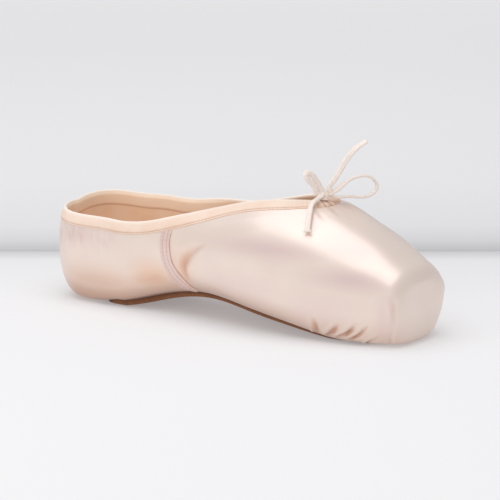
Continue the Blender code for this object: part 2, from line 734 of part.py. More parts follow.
def main():
    """Build the whole shoe."""
    clear_scene()
    satin = plain_material("satin", (0.78, 0.60, 0.53), 0.35)
    leather = plain_material("sole_leather", (0.48, 0.30, 0.24), 0.6)
    lining = plain_material("lining_cotton", (0.80, 0.58, 0.42), 0.9)
    cotton = plain_material("binding_cotton", (0.86, 0.66, 0.55), 0.8)
    braid = plain_material("drawstring_braid", (0.90, 0.74, 0.65), 0.7)
    outsole(leather)
    upper(satin)
    insole(lining)
    outer, inner = Skin(False), Skin(True)
    binding(outer, inner, cotton)
    side_seam("side_seam_left", 1, outer, satin)
    side_seam("side_seam_right", -1, outer, satin)
    middle = knot_middle(outer)
    knot(middle, braid)
    for name, route in CORD_ROUTES.items():
        cord(name, route, middle, braid)
    for skin in (outer, inner):
        skin.mesh.free()


main()
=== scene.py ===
"""Looks of the pointe shoe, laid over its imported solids.

Metres, +Z up, +X towards the toe, +Y the shoe's own left. Satin, lining,
binding, seams and sole are swept finely through the same half sections of the
last as the solids, and carry the folds, pleats, puckers and stitches.
"""

import logging
import math
from dataclasses import dataclass, field
from enum import Enum
from typing import NamedTuple, Optional, Sequence

import bmesh
import bpy
import numpy as np
from mathutils import Matrix, Vector
from mathutils.bvhtree import BVHTree


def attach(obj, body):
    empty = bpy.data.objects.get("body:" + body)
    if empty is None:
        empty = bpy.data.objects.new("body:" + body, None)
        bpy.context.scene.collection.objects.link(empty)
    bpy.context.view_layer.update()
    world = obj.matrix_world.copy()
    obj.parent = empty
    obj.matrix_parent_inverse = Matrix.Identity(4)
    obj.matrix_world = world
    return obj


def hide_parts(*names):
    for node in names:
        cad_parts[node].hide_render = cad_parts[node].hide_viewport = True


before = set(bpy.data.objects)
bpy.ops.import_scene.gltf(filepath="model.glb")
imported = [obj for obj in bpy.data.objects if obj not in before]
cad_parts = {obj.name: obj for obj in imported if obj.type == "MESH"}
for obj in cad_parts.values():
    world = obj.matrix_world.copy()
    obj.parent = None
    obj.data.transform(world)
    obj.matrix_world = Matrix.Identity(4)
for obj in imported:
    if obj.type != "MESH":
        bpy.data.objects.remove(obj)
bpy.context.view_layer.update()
LOG = logging.getLogger("pointe_shoe")
MM = 0.001
HALF_TURN = math.pi / 2

Points = np.ndarray
Triple = tuple[float, float, float]
Colour = Triple
Socket = bpy.types.NodeSocket
Material = bpy.types.Material
Piece = bpy.types.Object

CLOSED_SHARE = 0.9999
FINE_ZONES = ((0.084, 0.120), (0.184, 1.0))
THROAT_STEPS = 22
CAP_STEPS = 12
FACE_SHARES = (0.92, 0.8, 0.66, 0.5, 0.34, 0.18, 0.0)


class Side(Enum):
    """A side of the shoe, as the sign of its Y."""

    LEFT = 1
    RIGHT = -1


class Skin(Enum):
    """A face of the upper's wall, as the row step and the columns of its sweep.

    The columns are those of half the underside, then up a side's lower and upper curve.
    """

    OUTER = (0.0011, (18, 34, 56))
    INNER = (0.0014, (14, 24, 40))

    @property
    def step(self) -> float:
        """Distance between rows."""
        return self.value[0]

    @property
    def columns(self) -> tuple[int, int, int]:
        """Columns of the three parts."""
        return self.value[1]


@dataclass(frozen=True)
class LastSizes:
    """Driving sizes of the last and its materials, as in the solids."""

    length: float = 0.235
    heel_radius: float = 0.0268
    heel_width: float = 0.0600
    ball_width: float = 0.0746
    platform_width: float = 0.0484
    heel_height: float = 0.0510
    instep_height: float = 0.0690
    platform_height: float = 0.0410
    platform_round: float = 0.0062
    arch_rise: float = 0.0104
    throat_reach: float = 0.1735
    hem_lift: float = 0.0011
    hem_heel_end: float = 0.0400
    hem_heel_run: float = 0.0120
    hem_toe_end: float = 0.2050
    hem_toe_run: float = 0.0200
    throat_round: float = 0.0335
    gap: float = 0.0003
    sole_thickness: float = 0.0027
    sole_heel_end: float = 0.0370
    sole_heel_round: float = 0.0150
    sole_toe_end: float = 0.2200
    sole_toe_round: float = 0.0260
    sole_cup: float = 0.0008
    sole_flat_share: float = 0.6
    sole_end_share: float = 0.55
    quarter_wall: float = 0.0021
    box_wall: float = 0.0036
    floor_wall: float = 0.0019
    lip_width: float = 0.0009
    box_start: float = 0.1457
    box_growth: float = 0.0353
    cap_narrowing: float = 0.35
    cap_lowering: float = 0.36
    cap_level: float = 0.36


HEEL_BACK = -LastSizes.length / 2


class Section(NamedTuple):
    """A half section of the last; the turn is in degrees, the rest in metres."""

    turn: float
    place: float
    half: float
    tread: float
    belly: float
    roof: float
    lean: float
    rim: float
    full: float
    lift: float
    drop: float


def section_table(sizes: LastSizes) -> list[Section]:
    """Half sections from the heel back to the platform.

    Args:
        sizes: sizes that the sections take their shares of.

    Returns:
        The sections in order.
    """
    radius, heel = sizes.heel_radius, sizes.heel_width
    ball, toe = sizes.ball_width, sizes.platform_width
    low, high, end = sizes.heel_height, sizes.instep_height, sizes.platform_height
    arch, sole, long = sizes.arch_rise, sizes.sole_thickness, sizes.length
    return [
        Section(0, 0, 0.975 * radius, 0.63 * radius, 0.52 * low, 1.34 * low, 0.00 * low,
                0.88 * radius, 2.5, 0.29 * arch, 0.70 * sole),
        Section(45, 0, 1.09 * radius, 0.69 * radius, 0.49 * low, 1.33 * low, 0.06 * low,
                0.955 * radius, 2.5, 0.10 * arch, 0.74 * sole),
        Section(90, radius, 0.492 * heel, 0.365 * heel, 0.47 * low, 1.37 * low, 0.065 * low,
                0.442 * heel, 2.5, 0.02 * arch, 0.70 * sole),
        Section(90, 0.21 * long, 0.507 * heel, 0.385 * heel, 0.45 * low, 1.46 * low, 0.080 * low,
                0.460 * heel, 2.4, -0.07 * arch, 0.26 * sole),
        Section(90, 0.34 * long, 0.503 * heel, 0.322 * heel, 0.43 * low, 1.37 * low, 0.060 * low,
                0.437 * heel, 2.3, 0.58 * arch, 0.16 * sole),
        Section(90, 0.47 * long, 0.440 * ball, 0.248 * ball, 0.32 * high, 0.943 * high,
                -0.018 * high, 0.295 * ball, 2.2, 1.00 * arch, 0.16 * sole),
        Section(90, 0.60 * long, 0.492 * ball, 0.308 * ball, 0.32 * high, 1.001 * high,
                -0.025 * high, 0.235 * ball, 2.2, 0.72 * arch, 0.18 * sole),
        Section(90, 0.725 * long, 0.500 * ball, 0.335 * ball, 0.31 * high, 1.003 * high,
                -0.010 * high, 0.215 * ball, 2.2, 0.34 * arch, 0.40 * sole),
        Section(90, 0.83 * long, 0.450 * ball, 0.300 * ball, 0.28 * high, 0.872 * high,
                0.0, 0.215 * ball, 2.3, -0.02 * arch, 0.72 * sole),
        Section(90, 0.915 * long, 0.586 * toe, 0.410 * toe, 0.45 * end, 1.235 * end,
                0.0, 0.33 * toe, 2.4, -0.02 * arch, 0.80 * sole),
        Section(90, long - sizes.platform_round, 0.515 * toe, 0.275 * toe, 0.46 * end, 1.015 * end,
                0.0, 0.33 * toe, 2.5, 0.00 * arch, 0.80 * sole),
    ]


class SmoothCurve:
    """Smooth curve through values at knots, with no bend at its two ends."""

    def __init__(self, knots: Sequence[float], values: Sequence[float]) -> None:
        """Solve the curve's bends.

        Args:
            knots: rising places of the values.
            values: values that the curve passes through.
        """
        self.knots = np.asarray(knots, float)
        self.values = np.asarray(values, float)
        self.steps = np.diff(self.knots)
        count = len(self.knots)
        system, target = np.eye(count), np.zeros(count)
        slopes = np.diff(self.values) / self.steps
        for i in range(1, count - 1):
            before, after = self.steps[i - 1], self.steps[i]
            system[i, i - 1:i + 2] = before, 2 * (before + after), after
            target[i] = 3 * (slopes[i] - slopes[i - 1])
        self.bend = np.linalg.solve(system, target)

    def __call__(self, where: float) -> float:
        """Value of the curve at a place.

        Args:
            where: the place, which counts as the end if it lies past it.

        Returns:
            The value there.
        """
        where = min(max(where, self.knots[0]), self.knots[-1])
        i = int(min(max(np.searchsorted(self.knots, where) - 1, 0), len(self.steps) - 1))
        far, step, bend = where - self.knots[i], self.steps[i], self.bend
        rise = (self.values[i + 1] - self.values[i]) / step - step * (2 * bend[i] + bend[i + 1]) / 3
        bow = (bend[i + 1] - bend[i]) / (3 * step)
        return float(self.values[i] + far * (rise + far * (bend[i] + far * bow)))


def run_length(line: Points) -> Points:
    """Distance along a line at each of its points."""
    return np.concatenate([[0.0], np.cumsum(np.linalg.norm(np.diff(line, axis=0), axis=1))])


def resampled(values: Points, where: Points, at: Points) -> Points:
    """Columns of values at some places, read off at other places."""
    return np.stack([np.interp(at, where, column) for column in values.T], axis=1)


def smooth_line(route: Sequence[Sequence[float]], count: int) -> Points:
    """Evenly spaced points of a smooth curve through a route.

    Args:
        route: points that the curve passes through.
        count: how many points to return.

    Returns:
        Points along the curve.
    """
    route = np.asarray(route, float)
    knots = run_length(route)
    axes = [SmoothCurve(knots, column) for column in route.T]
    return np.array([[axis(where) for axis in axes] for where in np.linspace(0, knots[-1], count)])


def soft_step(value: Points) -> Points:
    """Smooth rise from 0 to 1 between 0 and 1."""
    share = np.clip(value, 0.0, 1.0)
    return share * share * (3 - 2 * share)


def unit(vectors: Points) -> Points:
    """Vectors of length 1 along the last axis."""
    return vectors / np.maximum(np.linalg.norm(vectors, axis=-1, keepdims=True), 1e-12)


def round_end(inside: float, length: float, start: float = 0.0) -> float:
    """Share of a full width in the round end of a piece.

    Args:
        inside: distance in from the end.
        length: length of the round.
        start: share at the very end.

    Returns:
        A share that reaches 1 where the round is over.
    """
    share = min(max(inside / length, 0.0), 1.0)
    return start + (1 - start) * math.sqrt(1 - (1 - share) ** 2)


class Last:
    """The last that every piece of the shoe is shaped over."""

    def __init__(self, sizes: LastSizes) -> None:
        """Fit the curves of the sections.

        Args:
            sizes: driving sizes of the last.
        """
        self.sizes = sizes
        self.heel_arc = sizes.heel_radius * HALF_TURN
        rows = section_table(sizes)
        stations = [sizes.heel_radius * math.radians(row.turn) if row.turn < 90
                    else self.station_of(row.place) for row in rows]
        self.curves = {name: SmoothCurve(stations, [getattr(row, name) for row in rows])
                       for name in Section._fields[2:]}
        self.throat = self.station_of(sizes.throat_reach)
        self.cap = self.station_of(sizes.length - sizes.platform_round)

    def station_of(self, place: float) -> float:
        """Station of a place past the heel, counted along the last's edge."""
        return self.heel_arc + place - self.sizes.heel_radius

    def place_of(self, station: float) -> float:
        """Distance from the heel back of a station past the heel."""
        return self.sizes.heel_radius + station - self.heel_arc

    def fade(self, station: float) -> float:
        """1 along the open collar, falling to 0 in a round at the throat."""
        share = (station - self.throat + self.sizes.throat_round) / self.sizes.throat_round
        return 0.0 if share > CLOSED_SHARE else math.sqrt(1 - max(share, 0.0) ** 2)

    def wall(self, station: float) -> float:
        """Thickness of the upper's wall.

        Args:
            station: station of the section.

        Returns:
            The thickness, which grows from the quarters to the box.
        """
        sizes = self.sizes
        share = float(soft_step((station - self.station_of(sizes.box_start)) / sizes.box_growth))
        return sizes.quarter_wall + (sizes.box_wall - sizes.quarter_wall) * share

    def blended(self, name: str, station: float, reach: Points) -> Points:
        """Value of a curve, which round the heel fades to one value at the centre.

        Args:
            name: name of the curve.
            station: station of the section.
            reach: distances out from the spine.

        Returns:
            One value for each reach.
        """
        value = self.curves[name](station)
        if station >= self.heel_arc:
            return value + 0 * reach
        side = self.curves[name](self.heel_arc)
        return side + (value - side) * (reach / self.curves["tread"](station)) ** 2

    def ground(self, station: float, reach: Points) -> Points:
        """Height of the sole's underside.

        Args:
            station: station of the section.
            reach: distances out from the spine.

        Returns:
            One height for each reach.
        """
        sizes = self.sizes
        tread = self.curves["tread"](station)
        lift = np.maximum(self.blended("lift", station, reach), 0.0)
        edge = (reach / tread - sizes.sole_flat_share) / (1 - sizes.sole_flat_share)
        edge = np.clip(edge, 0.0, 1.0)
        return lift + sizes.sole_cup * edge * edge

    def sole_reach(self, place: float, grow: float) -> float:
        """Half width of the outsole, or of its pocket when grown.

        Args:
            place: distance from the heel back.
            grow: how much wider than the sole.

        Returns:
            The half width.
        """
        sizes = self.sizes
        share = sizes.sole_end_share
        tread = self.curves["tread"](self.station_of(place)) + grow
        heel = round_end(place - sizes.sole_heel_end + grow, sizes.sole_heel_round, share)
        return tread * heel * round_end(sizes.sole_toe_end + grow - place, sizes.sole_toe_round, share)

    def hem_lift(self, station: float) -> float:
        """How far the satin's hem is drawn up so that the sole's raised edge shows.

        Args:
            station: station of the section.

        Returns:
            The lift, which is nothing at the heel and the toe.
        """
        if station < self.heel_arc:
            return 0.0
        sizes = self.sizes
        place = self.place_of(station)
        inside = soft_step(np.array((place - sizes.hem_heel_end) / sizes.hem_heel_run))
        inside = inside * soft_step(np.array((sizes.hem_toe_end - place) / sizes.hem_toe_run))
        return sizes.hem_lift * float(inside)

    def base(self, station: float, reach: Points, skin: Skin, seated: bool) -> Points:
        """Height of one face of the wall over the sole, or of the satin's hem beside it.

        Args:
            station: station of the section.
            reach: distances out from the spine.
            skin: face of the wall.
            seated: whether the sole lies under the satin here.

        Returns:
            One height for each reach.
        """
        height = self.ground(station, reach) + self.sizes.sole_thickness
        if skin is Skin.INNER:
            return height + (self.sizes.gap + self.sizes.floor_wall)
        if seated:
            return height + self.sizes.gap
        return height + self.hem_lift(station) - self.blended("drop", station, reach)

    def spots(self, station: float, side: Side, reach: Points, height: Points) -> Points:
        """Points of a section in the row frame.

        Args:
            station: station of the section.
            side: side of the shoe.
            reach: distances out from the spine.
            height: heights over the floor.

        Returns:
            One point for each reach and height.
        """
        radius = self.sizes.heel_radius
        turn = min(station / radius, HALF_TURN)
        base = radius if station < self.heel_arc else self.place_of(station)
        along = base - reach * math.cos(turn) + HEEL_BACK
        return np.stack([along, side.value * reach * math.sin(turn), height], axis=1)

    def profile(self, station: float, side: Side, skin: Skin,
                pocket: Optional[bool]) -> tuple[Points, Points]:
        """Reach and height of one half section, from underneath to the top.

        Args:
            station: station of the section.
            side: side of the shoe.
            skin: face of the wall.
            pocket: whether the sole's pocket is cut here, or None outside it.

        Returns:
            The reaches and the heights.
        """
        sizes = self.sizes
        value = {name: curve(station) for name, curve in self.curves.items()}
        inner = skin is Skin.INNER
        wall = self.wall(station) if inner else 0.0
        fade = self.fade(station)
        power = 2 / value["full"]
        cut = math.acos(min(value["rim"] * fade / value["half"], 1.0) ** (1 / power))
        half = value["half"] - wall
        roof = value["roof"] + side.value * value["lean"] * fade ** 4 - wall
        level = float(self.ground(station, np.zeros(1))[0]) + sizes.sole_thickness + value["belly"]
        edge = value["tread"]
        if pocket is not None and not inner:
            edge = self.sole_reach(self.place_of(station), sizes.gap)
        under, lower, upper = skin.columns
        across = np.linspace(0, 1, under) * edge
        reach, height = [across], [self.base(station, across, skin, bool(pocket))]
        if not inner:
            reach.append(np.array([edge]))
            height.append(self.base(station, reach[-1], skin, False))
        lip = value["tread"] + sizes.gap + sizes.lip_width
        foot = float(self.base(station, np.array([lip]), skin, False)[0])
        angle = HALF_TURN * np.arange(lower) / lower
        reach.append(lip + (half - lip) * np.sin(angle))
        height.append(level - (level - foot) * np.cos(angle))
        angle = cut * np.arange(upper + 1) / upper
        top = half * np.maximum(np.cos(angle), 0.0) ** power
        if fade == 0:
            top[-1] = 0.0
        reach.append(top)
        height.append(level + (roof - level) * np.sin(angle) ** power)
        return np.concatenate(reach), np.concatenate(height)

    def stations(self, step: float) -> list[tuple[float, Optional[bool]]]:
        """Stations of a sweep, each with whether the sole's pocket is cut there.

        Args:
            step: distance between rows past the heel.

        Returns:
            Stations from the heel back to the start of the platform's round.
        """
        sizes = self.sizes
        fan = int(self.heel_arc / step)
        rows: list[tuple[float, Optional[bool]]] = [
            (self.heel_arc * count / fan, None) for count in range(fan)]
        ends = (sizes.sole_heel_end - sizes.gap, sizes.sole_toe_end + sizes.gap)
        front = sizes.length - sizes.platform_round
        throat = [sizes.throat_reach
                  - sizes.throat_round * (1 - math.sin(HALF_TURN * count / THROAT_STEPS))
                  for count in range(THROAT_STEPS + 1)]
        fixed = [*ends, *throat, sizes.heel_radius, front]
        finest = np.arange(sizes.heel_radius, front, step / 2)
        regular = [place for count, place in enumerate(finest)
                   if count % 2 == 0 or any(low < place < high for low, high in FINE_ZONES)]
        places = fixed + [place for place in regular
                          if min(abs(place - other) for other in fixed) > step / 4]
        for place in sorted(places):
            inside = True if ends[0] <= place <= ends[1] else None
            station = self.station_of(place)
            if place == ends[0]:
                rows.append((station, False))
            rows.append((station, inside))
            if place == ends[1]:
                rows.append((station, False))
        return rows

    def row(self, station: float, halves: list[tuple[Points, Points]], shift: float) -> Points:
        """One row of a skin, from the left top over the sole to the right top.

        Args:
            station: station of the row.
            halves: reaches and heights of the left and the right half.
            shift: how far the row is moved towards the toe.

        Returns:
            The row's points.
        """
        left = self.spots(station, Side.LEFT, *halves[0])[::-1]
        right = self.spots(station, Side.RIGHT, *halves[1])[1:]
        return np.concatenate([left, right]) + np.array([shift, 0, 0])

    def cap_halves(self, skin: Skin, drawn: float, keep: float) -> list[tuple[Points, Points]]:
        """Both halves of a row on the platform.

        Args:
            skin: face of the wall.
            drawn: how far the platform's round has drawn in.
            keep: share of the size that is left on the flat face.

        Returns:
            Reaches and heights of the left and the right half.
        """
        halves = []
        for side in Side:
            reach, height = self.profile(self.cap, side, skin, None)
            middle = height[0] + self.sizes.cap_level * (height[-1] - height[0])
            narrow = (1 - self.sizes.cap_narrowing * drawn) * keep
            halves.append((reach * narrow,
                           middle + (height - middle) * (1 - self.sizes.cap_lowering * drawn)))
        return halves

    def skin_grid(self, skin: Skin) -> tuple[Points, Points]:
        """Grid of points over one skin, from the left top over the sole to the right top.

        Args:
            skin: face of the wall.

        Returns:
            The points, row by row from heel to platform, and each row's station.
        """
        depth = self.sizes.platform_round - (self.sizes.box_wall if skin is Skin.INNER else 0.0)
        rows, stations = [], []
        for station, pocket in self.stations(skin.step):
            halves = [self.profile(station, side, skin, pocket) for side in Side]
            rows.append(self.row(station, halves, 0.0))
            stations.append(station)
        turns = [HALF_TURN * count / CAP_STEPS for count in range(1, CAP_STEPS + 1)]
        cap = [(math.sin(turn), 1 - math.cos(turn), 1.0) for turn in turns]
        for forward, drawn, keep in cap + [(1.0, 1.0, keep) for keep in FACE_SHARES]:
            halves = self.cap_halves(skin, drawn, keep)
            rows.append(self.row(self.cap, halves, depth * forward))
            stations.append(self.cap)
        return np.array(rows), np.array(stations)


@dataclass(frozen=True)
class Crease:
    """A soft trough in cloth, with a ridge beside it.

    The route is in millimetres from the heel back, left of the middle and over
    the floor. Depths and widths are in millimetres too. The fades are the
    shares of the route over which it starts and ends.
    """

    route: tuple[Triple, ...]
    depth: float
    width: float
    ridge: float = 0.0
    ridge_side: int = 1
    fade_in: float = 0.3
    fade_out: float = 0.3
    shade: float = 1.0
    mirror: bool = True


CREASE_POINTS = 28
CREASE_REACH = 3.2
RIDGE_PLACE = 1.7
RIDGE_WIDTH = 1.1
SHADE_WIDTH = 0.8
OFF_SIDE_SHARE = 0.2


def beside_line(line: Points, places: Points) -> tuple[Points, Points, Points, Points]:
    """Where points lie beside a line.

    Args:
        line: points of the line.
        places: points to look from.

    Returns:
        Offset from the line, distance, share of the line gone and heading there.
    """
    start, span = line[:-1], np.diff(line, axis=0)
    offset = places[:, None] - start[None]
    share = np.clip((offset * span).sum(-1) / (span ** 2).sum(-1), 0, 1)
    apart = offset - share[..., None] * span
    far = np.linalg.norm(apart, axis=-1)
    best = far.argmin(axis=1)
    pick = np.arange(len(places))
    along = (best + share[pick, best]) / len(start)
    return apart[pick, best], far[pick, best], along, unit(span)[best]


def press_creases(points: Points, normals: Points, creases: Sequence[Crease]) -> Points:
    """Press creases into a grid of points.

    Args:
        points: grid of points, which is changed.
        normals: normals of the grid, outwards.
        creases: creases to press.

    Returns:
        Painted shade of the creases at each point, 0 to 1.
    """
    flat, ways = points.reshape(-1, 3), normals.reshape(-1, 3)
    start = flat.copy()
    shade = np.zeros(len(flat))
    for crease in creases:
        for side in ((1, -1) if crease.mirror else (1,)):
            route = np.array(crease.route) * (1, side, 1) * MM + (HEEL_BACK, 0, 0)
            line = smooth_line(route, CREASE_POINTS)
            width = crease.width * MM
            reach = CREASE_REACH * width
            inside = np.all((start > line.min(0) - reach) & (start < line.max(0) + reach), axis=1)
            found = np.flatnonzero(inside)
            if not len(found):
                continue
            apart, far, along, heading = beside_line(line, start[found])
            turn = np.cross(heading, ways[found])
            sign = np.sign((turn * apart).sum(-1)) * side * crease.ridge_side
            fade = soft_step(along / max(crease.fade_in, 1e-6))
            fade = fade * soft_step((1 - along) / max(crease.fade_out, 1e-6))
            trough = np.exp(-(far / width) ** 2)
            ridge = np.exp(-((far * sign - RIDGE_PLACE * width) / (RIDGE_WIDTH * width)) ** 2)
            facing = OFF_SIDE_SHARE + (1 - OFF_SIDE_SHARE) * soft_step(2 - far / (2 * width))
            move = (crease.ridge * ridge - crease.depth * trough) * MM * fade * facing
            flat[found] += ways[found] * move[:, None]
            dark = crease.shade * fade * np.exp(-(far / (SHADE_WIDTH * width)) ** 2)
            shade[found] = np.maximum(shade[found], dark)
    return shade.reshape(points.shape[:2])


def grid_normals(points: Points) -> Points:
    """Normals of a grid, outward where it runs heel to toe and left to right."""
    return unit(np.cross(np.gradient(points, axis=0), np.gradient(points, axis=1)))


@dataclass
class ClothMesh:
    """Builds a mesh from a grid of points, with a UV map in metres and named marks."""

    name: str
    points: Points
    marks: dict[str, Points] = field(default_factory=dict)
    close_rows: bool = False
    close_columns: bool = False
    closed: bool = False
    outward: bool = False
    stage: bool = False
    merge: float = 2e-6

    def uv(self) -> Points:
        """Distances along and across the grid.

        Returns:
            A pair in metres for each point.
        """
        rows, columns = self.points.shape[:2]
        along = np.linalg.norm(np.diff(self.points, axis=0), axis=-1)
        across = np.linalg.norm(np.diff(self.points, axis=1), axis=-1)
        along = np.concatenate([np.zeros((1, columns)), np.cumsum(along, axis=0)])
        across = np.concatenate([np.zeros((rows, 1)), np.cumsum(across, axis=1)], axis=1)
        even = np.broadcast_to(along.mean(axis=1, keepdims=True), along.shape)
        return np.stack([even, across], axis=-1)

    def shape(self, mesh: bmesh.types.BMesh) -> None:
        """Lay a flat grid on the points, and give it its UV map and marks.

        Args:
            mesh: the flat grid, two units wide, which is changed.
        """
        points, uv = self.points, self.uv()
        if self.close_rows:
            points = np.concatenate([points, points[:1]])
            uv = np.concatenate([uv, uv[-1:] + (uv[1:2] - uv[:1])])
        if self.close_columns:
            points = np.concatenate([points, points[:, :1]], axis=1)
            uv = np.concatenate([uv, uv[:, -1:] + (uv[:, 1:2] - uv[:, :1])], axis=1)
        rows, columns = points.shape[:2]
        bmesh.ops.create_grid(mesh, x_segments=columns - 1, y_segments=rows - 1, size=1.0)
        order = np.array([vert.co[:2] for vert in mesh.verts])
        row_of = np.rint((order[:, 1] + 1) / 2 * (rows - 1)).astype(int)
        column_of = np.rint((order[:, 0] + 1) / 2 * (columns - 1)).astype(int)
        layers = {name: mesh.verts.layers.float.new(name) for name in self.marks}
        uv_layer = mesh.loops.layers.uv.new("cloth")
        where = {}
        for vert, row, column in zip(mesh.verts, row_of.tolist(), column_of.tolist()):
            vert.co = points[row, column]
            where[vert] = (row, column)
            for name, layer in layers.items():
                grid = self.marks[name]
                vert[layer] = float(grid[row % grid.shape[0], column % grid.shape[1]])
        for face in mesh.faces:
            for loop in face.loops:
                loop[uv_layer].uv = uv[where[loop.vert]]

    def build(self, material: Material) -> Piece:
        """Make the object.

        Args:
            material: material of the piece.

        Returns:
            The finished piece.
        """
        mesh = bmesh.new()
        self.shape(mesh)
        bmesh.ops.remove_doubles(mesh, verts=mesh.verts, dist=self.merge)
        bmesh.ops.dissolve_degenerate(mesh, edges=mesh.edges, dist=self.merge)
        if self.closed:
            bmesh.ops.recalc_face_normals(mesh, faces=mesh.faces)
        elif self.outward:
            bmesh.ops.reverse_faces(mesh, faces=mesh.faces)
        return make_object(self.name, mesh, material, stage=self.stage)


def make_object(name: str, mesh: bmesh.types.BMesh, material: Material,
                stage: bool = False) -> Piece:
    """Turn a bmesh into a piece that rides with the shoe.

    Args:
        name: name of the piece.
        mesh: its mesh, which is freed.
        material: its material.
        stage: whether it belongs to the studio and not to the shoe.

    Returns:
        The piece.
    """
    data = bpy.data.meshes.new(name)
    mesh.to_mesh(data)
    mesh.free()
    data.shade_smooth()
    data.materials.append(material)
    piece = bpy.data.objects.new(name, data)
    bpy.context.scene.collection.objects.link(piece)
    if stage:
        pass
    else:
        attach(piece, "root")
    LOG.info("%s: %d faces", name, len(data.polygons))
    return piece


class Surface:
    """A grid of points that other pieces are laid on."""

    nearest = 5e-5

    def __init__(self, points: Points, outward: float) -> None:
        """Make the search tree.

        Args:
            points: grid of points.
            outward: 1 if the grid's own normals point away from the wall, else -1.
        """
        rows, columns = points.shape[:2]
        self.points = points.reshape(-1, 3)
        self.normals = (grid_normals(points) * outward).reshape(-1, 3)
        index = np.arange(rows * columns).reshape(rows, columns)
        quads = np.stack([index[:-1, :-1], index[1:, :-1], index[1:, 1:], index[:-1, 1:]], axis=-1)
        self.quads = quads.reshape(-1, 4)
        self.tree = BVHTree.FromPolygons(self.points.tolist(), self.quads.tolist())

    def settle(self, point: Points) -> tuple[Points, Points]:
        """Nearest point of the surface and its smooth normal.

        Args:
            point: where to look from.

        Returns:
            The point and the normal.
        """
        place, _, index, _ = self.tree.find_nearest(Vector(point))
        place = np.array(place)
        corners = self.quads[index]
        far = np.linalg.norm(self.points[corners] - place, axis=1) + self.nearest
        return place, unit((self.normals[corners] / far[:, None]).sum(0))

    def walk(self, start: Points, heading: Points, distance: float,
             step: float = 0.0007) -> list[tuple[Points, Points]]:
        """Walk over the surface.

        Args:
            start: where the walk starts.
            heading: way to go at first.
            distance: how far to go.
            step: length of a stride.

        Returns:
            Points and normals of the strides, the start among them.
        """
        place, normal = self.settle(start)
        trail = [(place, normal)]
        strides = max(int(math.ceil(distance / step)), 1)
        for _ in range(strides):
            heading = unit(heading - normal * (heading @ normal))
            place, normal = self.settle(place + heading * distance / strides)
            trail.append((place, normal))
        return trail


